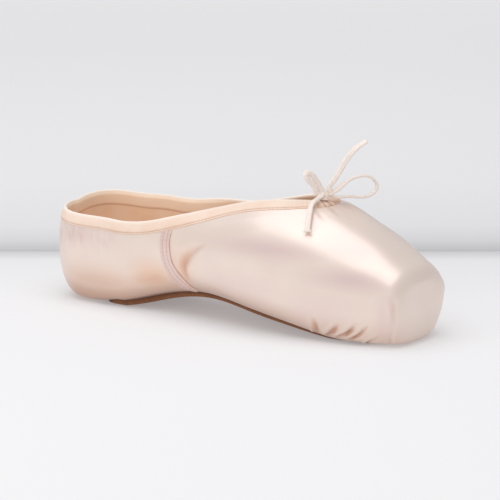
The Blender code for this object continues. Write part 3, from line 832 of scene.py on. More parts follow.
class Nodes:
    """Small helper that lays out the nodes of one material."""

    def __init__(self, name: str) -> None:
        """Start a material with its shader.

        Args:
            name: name of the material.
        """
        self.material = bpy.data.materials.new(name)
        self.material.use_nodes = True
        self.tree = self.material.node_tree
        self.shader = self.tree.nodes["Principled BSDF"]

    def add(self, kind: str, values: Optional[dict] = None, **settings: object) -> bpy.types.Node:
        """Add a node.

        Args:
            kind: type of the node.
            values: socket values, or sockets to link, by the input's name or number.
            settings: properties of the node.

        Returns:
            The node.
        """
        node = self.tree.nodes.new(kind)
        for name, value in settings.items():
            setattr(node, name, value)
        for name, value in (values or {}).items():
            self.feed(node.inputs[name], value)
        return node

    def feed(self, socket: Socket, value: object) -> None:
        """Set a socket, or link another socket to it.

        Args:
            socket: the input.
            value: a value, a colour of three parts or a socket.
        """
        if isinstance(value, Socket):
            self.tree.links.new(value, socket)
        elif socket.type == "RGBA" and len(value) == 3:
            socket.default_value = (*value, 1.0)
        else:
            socket.default_value = value

    def mix(self, share: object, first: object, second: object) -> Socket:
        """Mix two colours.

        Args:
            share: share of the second one.
            first: a colour or a socket.
            second: a colour or a socket.

        Returns:
            The socket of the result.
        """
        node = self.add("ShaderNodeMix", data_type="RGBA")
        for name, value in (("Factor", share), (6, first), (7, second)):
            self.feed(node.inputs[name], value)
        return node.outputs[2]

    def maths(self, operation: str, first: object, second: object = 0.0) -> Socket:
        """Result of a maths node."""
        return self.add("ShaderNodeMath", {0: first, 1: second}, operation=operation).outputs[0]

    def mark(self, name: str) -> Socket:
        """Value of a mesh attribute."""
        return self.add("ShaderNodeAttribute", attribute_name=name).outputs["Fac"]

    def scaled(self, source: str = "Object", scale: Triple = (1, 1, 1)) -> Socket:
        """Object or UV coordinates times a scale.

        Args:
            source: "Object" or "UV".
            scale: factor along each axis.

        Returns:
            The socket of the coordinates.
        """
        coordinates = self.add("ShaderNodeTexCoord")
        mapping = self.add("ShaderNodeMapping", {"Vector": coordinates.outputs[source],
                                                 "Scale": scale})
        return mapping.outputs["Vector"]

    def noise(self, vector: object, scale: float, detail: float = 3.0,
              rough: float = 0.5) -> Socket:
        """Noise pattern, about 0.5 on average."""
        values = {"Vector": vector, "Scale": scale, "Detail": detail, "Roughness": rough}
        return self.add("ShaderNodeTexNoise", values).outputs["Fac"]

    def crossing(self, pitch: float, loose: float = 1.0) -> tuple[object, object]:
        """Two sets of slanting threads that cross, on the UV map.

        Args:
            pitch: width of a thread and its gap.
            loose: how much closer the second set lies.

        Returns:
            The waves of both sets, from -1 to 1.
        """
        split = self.add("ShaderNodeSeparateXYZ", {"Vector": self.scaled("UV")})
        along, across = split.outputs["X"], split.outputs["Y"]
        rate = 2 * math.pi / pitch
        first = self.maths("MULTIPLY", self.maths("ADD", along, across), rate)
        second = self.maths("MULTIPLY", self.maths("SUBTRACT", along, across), rate * loose)
        return self.maths("SINE", first), self.maths("SINE", second)

    def ramp(self, value: object, stops: Sequence[tuple[float, float]]) -> Socket:
        """Grey ramp of a value.

        Args:
            value: socket with the value.
            stops: position and brightness of each stop.

        Returns:
            The ramp's result.
        """
        node = self.add("ShaderNodeValToRGB", {"Fac": value})
        elements = node.color_ramp.elements
        while len(elements) < len(stops):
            elements.new(0.5)
        for element, (place, grey) in zip(elements, stops):
            element.position = place
            element.color = (grey, grey, grey, 1)
        return node.outputs["Color"]

    def bumps(self, *layers: tuple[object, float, float]) -> Socket:
        """Bumps laid over one another.

        Args:
            layers: height, strength and distance of each bump.

        Returns:
            The socket of the normal.
        """
        normal = None
        for height, strength, distance in layers:
            node = self.add("ShaderNodeBump", {"Height": height, "Strength": strength,
                                               "Distance": distance})
            if normal is not None:
                self.feed(node.inputs["Normal"], normal)
            normal = node.outputs["Normal"]
        return normal

    def finish(self, **inputs: object) -> Material:
        """Feed the shader's inputs.

        Args:
            inputs: value or socket of each input, with underscores for spaces.

        Returns:
            The material.
        """
        for name, value in inputs.items():
            self.feed(self.shader.inputs[name.replace("_", " ")], value)
        return self.material


@dataclass(frozen=True)
class SatinFinish:
    """Pale pink satin: fine threads along the shoe, a broad soft gloss."""

    name: str = "pink_satin"
    base: Colour = (0.865, 0.715, 0.605)
    rosy: Colour = (0.720, 0.510, 0.480)
    # deep colours the painted shade in the creases, shadow the painted shadow beside the sole, and tan
    # the hem's tan with painted shade.
    tan: Colour = (0.430, 0.185, 0.080)
    amber: Colour = (0.800, 0.380, 0.150)
    deep: Colour = (0.620, 0.270, 0.120)
    shadow: Colour = (0.180, 0.070, 0.035)
    thread: Colour = (0.900, 0.740, 0.680)
    roughness: float = 0.36
    clouds: float = 38
    puckers: float = 150
    threads_along: Triple = (260, 2600, 2600)
    threads_across: Triple = (3200, 420, 420)
    gathers: Triple = (420, 420, 40)

    def colour(self, net: Nodes, cloud: Socket, threads: Socket) -> Socket:
        """Lay the satin's tones over one another, with its painted reflections and painted shade.

        Args:
            net: the material's nodes.
            cloud: slow change of tone.
            threads: threads along the shoe.

        Returns:
            The socket of the colour.
        """
        streaks = net.ramp(net.noise(net.scaled("Object", self.gathers), 1.0, 3),
                           [(0.35, 0.2), (0.62, 1.0)])
        colour = net.mix(net.ramp(cloud, [(0.35, 0.0), (0.75, 0.25)]), self.base, self.rosy)
        # Painted reflection in mauve, where the satin mirrors darker surroundings.
        colour = net.mix(net.mark("blush"), colour, self.rosy)
        # Painted shade of the small gathers at the heel, in streaks.
        colour = net.mix(net.maths("MULTIPLY", net.mark("gather"), streaks), colour, self.rosy)
        # Painted warm shade round the side crease, tan with painted shade towards the sole, painted shade
        # in the creases and a painted shadow beside the sole.
        for mark, tone in (("amber", self.amber), ("hem", self.tan), ("fold", self.deep),
                           ("under", self.shadow)):
            colour = net.mix(net.mark(mark), colour, tone)
        return net.mix(net.maths("MULTIPLY", threads, 0.10), colour, self.thread)

    def material(self) -> Material:
        """Build the satin's material.

        Returns:
            The material.
        """
        net = Nodes(self.name)
        cloud = net.noise(net.scaled(), self.clouds, 4)
        threads = net.noise(net.scaled("Object", self.threads_along), 1.0, 2)
        cross = net.noise(net.scaled("Object", self.threads_across), 1.0, 2)
        puckers = net.noise(net.scaled(), self.puckers)
        normal = net.bumps((puckers, 0.10, 0.0006), (threads, 0.09, 0.0002), (cross, 0.05, 0.0002))
        gloss = net.maths("ADD", net.maths("MULTIPLY", cloud, 0.14), self.roughness - 0.07)
        return net.finish(Base_Color=self.colour(net, cloud, threads), Roughness=gloss, Normal=normal,
                          Metallic=0.20, Specular_IOR_Level=0.8, Sheen_Weight=0.06,
                          Sheen_Roughness=0.45, Sheen_Tint=(1.0, 0.90, 0.86), Coat_Weight=1.0,
                          Coat_Roughness=0.38, Coat_IOR=2.1)


@dataclass(frozen=True)
class CottonFinish:
    """Matt twill of cotton, on a cloth's own UV map."""

    name: str
    base: Colour
    warm: Colour
    # light colours the painted highlight on the crest and raised threads, deep the painted shade in folds
    # and dents.
    light: Colour
    inner: Colour = (0.86, 0.60, 0.40)
    deep: Colour = (0.55, 0.25, 0.11)
    pitch: float = 0.0010
    relief: float = 0.35
    clouds: float = 70
    fuzz: float = 1500
    hollow_share: float = 0.72

    def material(self) -> Material:
        """Build the cotton's material.

        Returns:
            The material.
        """
        net = Nodes(self.name)
        twill, weft = net.crossing(self.pitch, 0.55)
        weave = net.maths("ADD", net.maths("MULTIPLY", twill, 0.3), net.maths("MULTIPLY", weft, 0.14))
        cloud = net.noise(net.scaled(), self.clouds, 4)
        fuzz = net.noise(net.scaled(), self.fuzz)
        colour = net.mix(net.ramp(cloud, [(0.38, 0.0), (0.68, 1.0)]), self.base, self.warm)
        # Tan on the inside face, a painted highlight along the crest and painted shade in the folds and
        # dents.
        for mark, tone in (("inside", self.inner), ("crest", self.light), ("fold", self.deep)):
            colour = net.mix(net.mark(mark), colour, tone)
        # Painted highlight on the raised threads and painted shade in the hollows of the weave.
        rise = net.maths("ADD", weave, 0.5)
        colour = net.mix(net.ramp(rise, [(0.1, 0.0), (0.9, 0.22)]), colour, self.light)
        hollow = tuple(self.hollow_share * part for part in self.warm)
        colour = net.mix(net.ramp(rise, [(0.1, 0.28), (0.5, 0.0)]), colour, hollow)
        normal = net.bumps((weave, self.relief, 0.00012), (fuzz, 0.25, 0.00015),
                           (cloud, 0.15, 0.0008))
        return net.finish(Base_Color=colour, Roughness=0.86, Normal=normal, Specular_IOR_Level=0.25,
                          Sheen_Weight=0.25, Sheen_Roughness=0.6)


@dataclass(frozen=True)
class LeatherFinish:
    """Pinkish brown split leather with a fine nap."""

    name: str = "sole_leather"
    base: Colour = (0.230, 0.088, 0.036)
    dark: Colour = (0.090, 0.030, 0.014)
    pale: Colour = (0.310, 0.138, 0.066)
    clouds: float = 60
    nap: float = 900
    grain: float = 700

    def material(self) -> Material:
        """Build the leather's material.

        Returns:
            The material.
        """
        net = Nodes(self.name)
        place = net.scaled()
        cloud = net.noise(place, self.clouds, 5)
        nap = net.noise(place, self.nap, 4, 0.7)
        grain = net.add("ShaderNodeTexVoronoi", {"Vector": place, "Scale": self.grain})
        colour = net.mix(net.ramp(cloud, [(0.3, 0.0), (0.7, 1.0)]), self.base, self.pale)
        colour = net.mix(net.ramp(nap, [(0.35, 0.0), (0.75, 0.5)]), colour, self.dark)
        # Painted shadow along the top of the sole's edge, under the satin.
        colour = net.mix(net.mark("edge"), colour, self.dark)
        normal = net.bumps((nap, 0.5, 0.0003), (grain.outputs["Distance"], 0.2, 0.0003))
        return net.finish(Base_Color=colour, Roughness=0.78, Normal=normal, Specular_IOR_Level=0.3)


@dataclass(frozen=True)
class BraidFinish:
    """Soft flat cotton braid, its plait on the cord's own UV map."""

    name: str = "drawstring_braid"
    base: Colour = (0.99, 0.90, 0.83)
    # dark colours the painted shade in the plait's hollows and on the knot's hidden parts.
    dark: Colour = (0.88, 0.62, 0.46)
    pitch: float = 0.0011
    fuzz: float = 2200

    def material(self) -> Material:
        """Build the braid's material.

        Returns:
            The material.
        """
        net = Nodes(self.name)
        plait = net.maths("MAXIMUM", *net.crossing(self.pitch))
        fuzz = net.noise(net.scaled(), self.fuzz)
        rise = net.maths("ADD", net.maths("MULTIPLY", plait, 0.5), 0.5)
        # Painted shade in the hollows of the plait, then on the knot's hidden parts.
        colour = net.mix(net.ramp(rise, [(0.2, 0.55), (0.75, 0.0)]), self.base, self.dark)
        colour = net.mix(net.mark("fold"), colour, self.dark)
        normal = net.bumps((plait, 0.5, 0.0002), (fuzz, 0.3, 0.00015))
        return net.finish(Base_Color=colour, Roughness=0.82, Normal=normal, Specular_IOR_Level=0.25,
                          Sheen_Weight=0.3, Sheen_Roughness=0.5)


PLEAT_BACK = ((204.0, -30.8, 12.2), (200.5, -30.2, 8.6), (197.0, -29.2, 5.6), (193.0, -27.5, 3.0))
PLEAT_MIDDLE = ((213.0, -28.8, 13.6), (209.6, -28.6, 9.0), (205.0, -27.9, 5.8), (199.0, -27.0, 3.4))
PLEAT_FRONT = ((219.5, -27.0, 13.2), (216.0, -27.0, 8.8), (211.5, -26.6, 5.2), (206.0, -25.4, 2.6))
SATIN_CREASES = (
    Crease(((117.5, -32.8, 43.4), (111.5, -32.9, 40.4), (106.5, -32.4, 36.6), (103.2, -31.9, 32.6),
            (101.8, -31.2, 28.4), (102.8, -30.0, 23.6), (105.8, -28.0, 19.0)),
           2.0, 3.1, 0.5, -1, 0.62, 0.38, 0.95),
    Crease(((121.5, -32.6, 44.8), (115.5, -32.8, 42.6), (109.5, -32.6, 39.0), (105.4, -32.0, 34.8)),
           0.7, 1.5, 0.3, -1, 0.6, 0.6, 0.55),
    Crease(((94.0, -31.0, 42.0), (96.0, -31.2, 34.0), (98.5, -30.6, 26.0), (103.0, -28.0, 18.0)),
           0.5, 2.2, 0.0, 1, 0.2, 0.2, 0.15),
    Crease(((189.5, -34.0, 15.0), (189.0, -32.6, 11.0), (188.4, -30.6, 7.0), (187.0, -28.0, 4.0)),
           1.3, 1.4, 0.8, 1, 0.6, 0.05, 1.0),
    Crease(PLEAT_BACK, 1.2, 1.4, 0.9, 1, 0.5, 0.05, 0.9),
    Crease(PLEAT_MIDDLE, 1.2, 1.2, 0.9, 1, 0.5, 0.05, 0.9),
    Crease(PLEAT_FRONT, 1.2, 1.2, 0.9, 1, 0.5, 0.05, 0.9),
    Crease(PLEAT_BACK, 0.6, 0.6, 0.0, 1, 0.5, 0.05, 1.0),
    Crease(PLEAT_MIDDLE, 0.9, 0.55, 0.0, 1, 0.5, 0.05, 1.0),
    Crease(PLEAT_FRONT, 0.9, 0.55, 0.0, 1, 0.5, 0.05, 1.0),
    Crease(((224.6, -25.0, 7.0), (221.0, -24.4, 4.4), (216.5, -22.8, 2.2), (213.0, -21.0, 1.0)),
           0.8, 1.0, 0.5, 1, 0.4, 0.05, 0.8),
    Crease(((232.0, -22.9, 12.5), (231.0, -22.6, 8.5), (229.4, -21.6, 5.0), (227.0, -19.5, 2.0)),
           1.9, 1.2, 1.0, -1, 0.5, 0.05, 1.0),
    Crease(((228.5, -20.0, 30.0), (231.5, -22.5, 24.0), (232.3, -23.2, 17.0), (232.2, -23.0, 11.0)),
           0.8, 1.5, 0.4, 1, 0.5, 0.3, 0.30),
    Crease(((12.0, -24.0, 40.5), (12.5, -24.6, 36.0), (13.5, -25.0, 31.0)),
           0.35, 1.3, 0.2, 1, 0.2, 0.6, 0.3),
    Crease(((20.0, -27.5, 41.0), (20.5, -28.0, 36.5), (21.5, -28.2, 33.0)),
           0.35, 1.2, 0.2, 1, 0.2, 0.6, 0.3),
    Crease(((29.0, -29.0, 40.5), (29.5, -29.6, 37.0), (30.5, -29.8, 33.0)),
           0.30, 1.4, 0.2, 1, 0.2, 0.6, 0.25),
    Crease(((46.0, -30.0, 39.5), (46.5, -30.4, 36.5), (47.5, -30.4, 33.0)),
           0.25, 1.4, 0.2, 1, 0.2, 0.6, 0.2),
    Crease(((60.0, -29.5, 16.0), (70.0, -29.0, 17.5), (82.0, -28.5, 19.0), (90.0, -28.0, 21.0)),
           0.7, 3.2, 0.4, -1, 0.4, 0.3, 0.3),
    Crease(((112.0, -29.0, 18.5), (122.0, -31.5, 17.5), (134.0, -33.0, 14.5), (148.0, -33.5, 12.0)),
           0.5, 2.6, 0.3, -1, 0.4, 0.4, 0.3),
    Crease(((104.0, -28.6, 46.5), (122.0, -28.6, 51.5), (140.0, -26.6, 57.0), (158.0, -22.6, 61.0),
            (172.0, -17.0, 62.5)),
           -0.55, 2.2, 0.0, 1, 0.3, 0.3, 0.0),
    Crease(((108.0, -31.0, 43.0), (126.0, -31.2, 47.5), (144.0, -30.2, 52.5), (162.0, -27.0, 56.5)),
           0.40, 2.6, 0.0, 1, 0.3, 0.4, 0.0),
    Crease(((178.5, -4.0, 66.0), (184.0, -6.0, 65.0), (190.0, -7.0, 62.5)),
           0.3, 1.6, 0.2, 1, 0.2, 0.6, 0.2),
    Crease(((176.0, -11.5, 65.0), (181.0, -14.5, 63.0), (186.0, -17.0, 60.0)),
           0.3, 1.5, 0.2, 1, 0.2, 0.6, 0.2),
)


@dataclass(frozen=True)
class Patch:
    """A soft patch of another tone; its middle and reach are in millimetres."""

    middle: Triple
    reach: Triple
    amount: float


# Painted reflection: mauve where the satin mirrors darker surroundings, along the vamp's side, over its
# glossy ridge and round the heel, and painted shade beside the platform.
PAINTED_REFLECTIONS = (
    Patch((8, -20, 30), (14, 14, 14), 0.35),
    Patch((190, -33, 20), (40, 9, 13), 0.30),
    Patch((168, -21, 63), (30, 10, 9), 0.40),
    Patch((204, -20, 50), (26, 10, 10), 0.40),
    Patch((30, -29, 26), (22, 9, 8), 0.15),
    Patch((66, -29, 30), (18, 9, 8), 0.10),
    Patch((162, -34, 47), (34, 9, 5), 0.85),
    Patch((208, -28, 35), (26, 9, 6), 0.85),
    Patch((140, -35, 24), (30, 9, 8), 0.35),
    Patch((227, -24, 17), (6, 7, 12), 0.55),
)

# Painted shade, in mauve streaks, of the small gathers below the collar at the heel.
GATHER_SHADES = (
    Patch((9, -22, 39), (9, 8, 6), 1.0),
    Patch((24, -28, 39), (11, 8, 7), 0.95),
    Patch((44, -30, 39), (13, 8, 6), 0.7),
)

# The satin's tan near the sole, together with painted shade where it turns under towards the floor.
TAN_AND_SHADE_PATCHES = (
    Patch((20, -22, 8), (18, 14, 7), 0.65),
    Patch((40, -29, 12), (32, 9, 8), 0.45),
    Patch((120, -29, 15), (20, 9, 7), 0.40),
    Patch((205, -28, 6), (24, 9, 6), 0.30),
)

# Painted warm shade round the side crease, the seam and the lower quarter.
WARM_SHADE_PATCHES = (
    Patch((80, -29, 21), (14, 8, 8), 0.60),
    Patch((103, -31, 28), (7, 8, 11), 0.45),
    Patch((46, -29, 14), (30, 9, 8), 0.30),
    Patch((90, -30, 40), (5, 6, 6), 0.20),
)


def patch_amounts(points: Points, patches: Sequence[Patch]) -> Points:
    """Strength of mirrored patches at each point of a grid.

    Args:
        points: grid of points.
        patches: patches to lay.

    Returns:
        Amounts from 0 to 1.
    """
    place = (points - (HEEL_BACK, 0, 0)) / MM
    place[..., 1] = -np.abs(place[..., 1])
    total = np.zeros(points.shape[:2])
    for patch in patches:
        far = (((place - patch.middle) / patch.reach) ** 2).sum(-1)
        total = np.maximum(total, patch.amount * np.exp(-far))
    return total


@dataclass(frozen=True)
class Push:
    """A soft push of the cloth; all in millimetres."""

    middle: Triple
    reach: Triple
    move: Triple


PUSHES = (
    Push((186, 12, 62), (16, 10, 12), (0, 0.6, 1.3)),
    Push((205, 20, 44), (16, 10, 12), (0, 0.8, 0.9)),
    Push((165, -22, 62.5), (16, 8, 8), (0, 0.35, -0.4)),
    Push((187, -21, 57), (16, 8, 8), (-0.1, 0.4, -0.45)),
    Push((208, -21, 47.5), (14, 8, 8), (-0.2, 0.4, -0.45)),
    Push((230, 23, 24), (12, 8, 9), (0.6, 1.8, 0)),
    Push((231, 24, 3), (9, 9, 7), (-1.2, -2.2, 0.6)),
    Push((231, -24, 2), (9, 6, 5), (-0.6, 0.8, 0.0)),
    Push((112, -30, 26), (9, 10, 9), (0, -1.0, 0)),
    Push((80, -30, 24), (10, 10, 8), (0, 0.8, 0)),
)


def push_cloth(points: Points, pushes: Sequence[Push]) -> Points:
    """Move points of a grid by soft pushes.

    Args:
        points: grid of points.
        pushes: pushes to lay.

    Returns:
        The moved grid.
    """
    place = (points - (HEEL_BACK, 0, 0)) / MM
    moved = points.copy()
    for push in pushes:
        far = (((place - push.middle) / push.reach) ** 2).sum(-1)
        moved += np.exp(-far)[..., None] * np.array(push.move) * MM
    return moved


UNDER_COLUMNS = ((0, 2, 3, 5, 7, 10), (1.0, 1.0, 0.9, 0.55, 0.25, 0.0))
HEM_PLACES = ((0, 150, 200, 235), (0.95, 0.85, 0.4, 0.25))


@dataclass
class SatinUpper:
    """Satin of the vamp, quarters and box, with its folds and pleats."""

    last: Last
    soft_rounds: int = 24
    toe_start: float = 0.209
    toe_run: float = 0.020
    stretch_start: float = 0.205
    stretch_run: float = 0.028
    hem_top: float = 19
    hem_fade: float = 16
    fold_shade: float = 0.95

    def __post_init__(self) -> None:
        """Sweep the satin and press its creases."""
        points, self.stations = self.last.skin_grid(Skin.OUTER)
        points = push_cloth(self.softened(points), PUSHES)
        self.fold = press_creases(points, grid_normals(points), SATIN_CREASES)
        self.points = points
        self.surface = Surface(points, 1.0)

    def softened(self, points: Points) -> Points:
        """Round the edges of the platform, as satin drawn over glue does.

        Args:
            points: grid of points.

        Returns:
            The grid with a softer toe.
        """
        place = points[..., 0] - HEEL_BACK
        share = soft_step((place - self.toe_start) / self.toe_run)
        share = share * soft_step((points[..., 2] - 0.0005) / 0.003)
        front = points[..., 0].max()
        for _ in range(self.soft_rounds):
            moved = points.copy()
            moved[1:-1, 1:-1] = (points[:-2, 1:-1] + points[2:, 1:-1]
                                 + points[1:-1, :-2] + points[1:-1, 2:]) / 4
            crest = (points[:-2, 0] + points[2:, 0] + points[1:-1, 1] + points[1:-1, -2]) / 4
            moved[1:-1, 0] = crest
            moved[1:-1, -1] = crest
            points = points + (moved - points) * share[..., None]
        lost = front - points[..., 0].max()
        place = points[..., 0] - HEEL_BACK - self.stretch_start
        points[..., 0] += lost * soft_step(place / self.stretch_run)
        return points

    def hem_mark(self) -> Points:
        """How much tan and painted shade the satin takes at each point, most along the hem.

        Returns:
            Amounts from 0 to 1.
        """
        grounds = [float(self.last.ground(station, np.zeros(1))[0]) for station in self.stations]
        height = (self.points[..., 2] - 0.9 * np.array(grounds)[:, None]) / MM
        place = (self.points[..., 0] - HEEL_BACK) / MM
        hem = soft_step((self.hem_top - height) / self.hem_fade) * np.interp(place, *HEM_PLACES)
        return np.maximum(hem, patch_amounts(self.points, TAN_AND_SHADE_PATCHES))

    def under_mark(self) -> Points:
        """How dark the satin is at each point that lies beside the sole.

        Returns:
            Amounts from 0 to 1.
        """
        columns = self.points.shape[1]
        from_middle = np.abs(np.arange(columns) - (columns - 1) / 2) - Skin.OUTER.columns[0]
        place = self.points[..., 0] - HEEL_BACK
        sizes = self.last.sizes
        soled = soft_step((place - sizes.sole_heel_end + 0.003) / 0.004)
        soled = soled * soft_step((sizes.sole_toe_end - 0.004 - place) / 0.006)
        return np.interp(from_middle, *UNDER_COLUMNS)[None] * soled

    def build(self, material: Material) -> Piece:
        """Make the satin's mesh.

        Args:
            material: the satin.

        Returns:
            The piece.
        """
        # Painted shade in the creases, a painted shadow beside the sole, and tan with painted shade near
        # the hem.
        marks = {"fold": self.fold_shade * self.fold, "under": self.under_mark(),
                 "hem": self.hem_mark()}
        for name, patches in (("blush", PAINTED_REFLECTIONS), ("amber", WARM_SHADE_PATCHES), ("gather", GATHER_SHADES)):
            marks[name] = patch_amounts(self.points, patches)
        piece = ClothMesh("satin_upper", self.points, marks, outward=True).build(material)
        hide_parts("upper")
        return piece


LINING_CREASES = tuple(
    Crease(route, 0.5, 1.4, 0.3, 1, 0.4, 0.6, 0.4, False) for route in (
        ((40, 27, 18), (44, 27, 25), (50, 27, 30)),
        ((74, 27, 18), (78, 27, 25), (80, 28, 31)),
        ((92, -27, 18), (94, -28, 26), (93, -29, 33)),
    ))


@dataclass
class Lining:
    """Tan cotton lining inside the upper."""

    last: Last
    upper: SatinUpper
    thinning: float = 0.5
    thinned_depth: float = 0.009

    def __post_init__(self) -> None:
        """Sweep the lining, thin the wall towards the collar and press the creases."""
        points, self.stations = self.last.skin_grid(Skin.INNER)
        self.thin(points)
        self.fold = press_creases(points, -grid_normals(points), LINING_CREASES)
        self.points = points
        self.surface = Surface(points, -1.0)

    def thin(self, points: Points) -> None:
        """Draw the lining's top towards the satin's, all along the collar.

        Args:
            points: grid of points, which is changed.
        """
        for number, station in enumerate(self.stations):
            if self.last.fade(station) == 0:
                continue
            for end, order in ((0, slice(None)), (-1, slice(None, None, -1))):
                line = points[number][order]
                rim = self.upper.points[:, end]
                outer = [np.interp(station, self.upper.stations, column) for column in rim.T]
                share = np.clip(1 - run_length(line) / self.thinned_depth, 0, 1) ** 2 * self.thinning
                line += share[:, None] * (np.array(outer) - line[0])

    def build(self, material: Material) -> Piece:
        """Make the lining's mesh.

        Args:
            material: the cotton.

        Returns:
            The piece.
        """
        # Painted shade in the lining's creases.
        piece = ClothMesh("lining", self.points, {"fold": 0.5 * self.fold}).build(material)
        return piece


SOLE_CORNER = ((0.0, 0.0), (0.55, 0.05), (0.88, 0.18), (1.0, 0.42), (1.0, 0.66), (0.88, 0.86),
               (0.55, 0.97), (0.0, 1.0))
SOLE_END_ROWS = (0.0, 0.0002, 0.0006, 0.0011, 0.0018)
SOLE_COLUMNS = 33


@dataclass
class SolePlate:
    """A flat piece along the sole, swept from heel to toe."""

    last: Last
    name: str
    node: str
    slot: str
    start: float
    end: float
    low: float
    high: float
    edge: float
    insole: bool = False
    clearance: float = 0.0010
    toe_round: float = 0.0140
    row_step: float = 0.0012
    end_margin: float = 0.0028
    end_round: float = 0.0011
    raised_width: float = 0.0012
    shade: float = 0.55

    def reach(self, place: float) -> float:
        """Half width at a place.

        Args:
            place: distance from the heel back.

        Returns:
            The half width.
        """
        radius = self.last.sizes.heel_radius
        if not self.insole:
            return self.last.sole_reach(place, 0.0)
        if place < radius:
            tread = self.last.curves["tread"](0.0) - self.clearance
            return math.sqrt(max(tread ** 2 - (radius - place) ** 2, 0.0))
        tread = self.last.curves["tread"](self.last.station_of(place)) - self.clearance
        return tread * round_end(self.end - place, self.toe_round)

    def ground(self, place: float, reach: Points) -> Points:
        """Height of the sole's underside.

        Args:
            place: distance from the heel back.
            reach: distances out from the middle.

        Returns:
            One height for each reach.
        """
        radius = self.last.sizes.heel_radius
        if place >= radius:
            return self.last.ground(self.last.station_of(place), np.abs(reach))
        back = radius - place
        heights = []
        for far in np.abs(reach):
            station = radius * math.atan2(far, back)
            heights.append(float(self.last.ground(station, np.array([math.hypot(far, back)]))[0]))
        return np.array(heights)

    def places(self) -> list[float]:
        """Rows of the sweep, closer together at both ends.

        Returns:
            Distances from the heel back.
        """
        count = int((self.end - self.start) / self.row_step)
        middle = np.linspace(self.start + self.end_margin, self.end - self.end_margin, count)
        return ([self.start + far for far in SOLE_END_ROWS] + list(middle)
                + [self.end - far for far in SOLE_END_ROWS[::-1]])

    def ring(self, place: float) -> tuple[Points, Points]:
        """One ring round the plate.

        Args:
            place: distance from the heel back.

        Returns:
            The ring's points and how dark each is.
        """
        tip = min(place - self.start, self.end - place)
        squeeze = round_end(tip, self.end_round)
        reach = self.reach(place)
        inner = max(reach - self.edge, 0.0)
        flat = np.linspace(-1, 1, SOLE_COLUMNS)[1:-1]
        across, share = [], []
        for sign, corner in ((1, SOLE_CORNER), (-1, SOLE_CORNER[::-1])):
            across += [sign * (inner + (reach - inner) * out) for out, _ in corner]
            share += [rise for _, rise in corner]
            across += [-sign * inner * part for part in flat]
            share += [1.0 if sign > 0 else 0.0] * len(flat)
        across = np.array(across)
        share = 0.5 + (np.array(share) - 0.5) * squeeze
        height = self.ground(place, across) + self.low + (self.high - self.low) * share
        if not self.insole:
            raised = self.last.hem_lift(self.last.station_of(place)) * squeeze
            rim = soft_step((np.abs(across) - inner + self.raised_width) / self.raised_width)
            height += raised * (share > 0.5) * rim
        along = np.full(len(across), place + HEEL_BACK)
        dark = np.exp(-((share - 0.72) / 0.3) ** 2) * (np.abs(across) > inner - 1e-6)
        return np.stack([along, across, height], axis=1), self.shade * dark

    def build(self, material: Material) -> Piece:
        """Make the plate's mesh.

        Args:
            material: its material.

        Returns:
            The piece.
        """
        rings, dark = zip(*(self.ring(place) for place in self.places()))
        cloth = ClothMesh(self.name, np.array(rings), {"edge": np.array(dark)},
                          close_columns=True, closed=True)
        piece = cloth.build(material)
        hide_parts(self.node)
        return piece


BAND_SHARES = np.array([0.0, 0.1, 0.22, 0.36, 0.5, 0.62, 0.72, 0.79, 0.84, 0.89, 0.94, 0.98, 1.0])
BAND_RISES = ((0, 0.2, 0.5, 0.72, 0.84, 0.91, 0.97, 1.0), (0.80, 0.92, 1.0, 0.90, 0.62, 0.66, 0.52, 0.14))
INNER_SHARES = np.array([0.0, 0.2, 0.42, 0.62, 0.78, 0.88, 0.95, 1.0])
INNER_RISES = ((0, 0.3, 0.7, 0.88, 1.0), (0.85, 1.0, 0.9, 0.75, 0.14))
TOP_ARC = np.radians([12, 38, 64, 90, 116, 142, 168])
TOP_HIGHLIGHT = np.array([0.8, 1, 1, 0.9, 0.6, 0.3, 0.1])
TOP_INSIDE = np.array([0, 0, 0, 0.2, 0.5, 0.8, 1.0])
STITCH_COLUMN = 8
HIDDEN_COLUMNS = 7


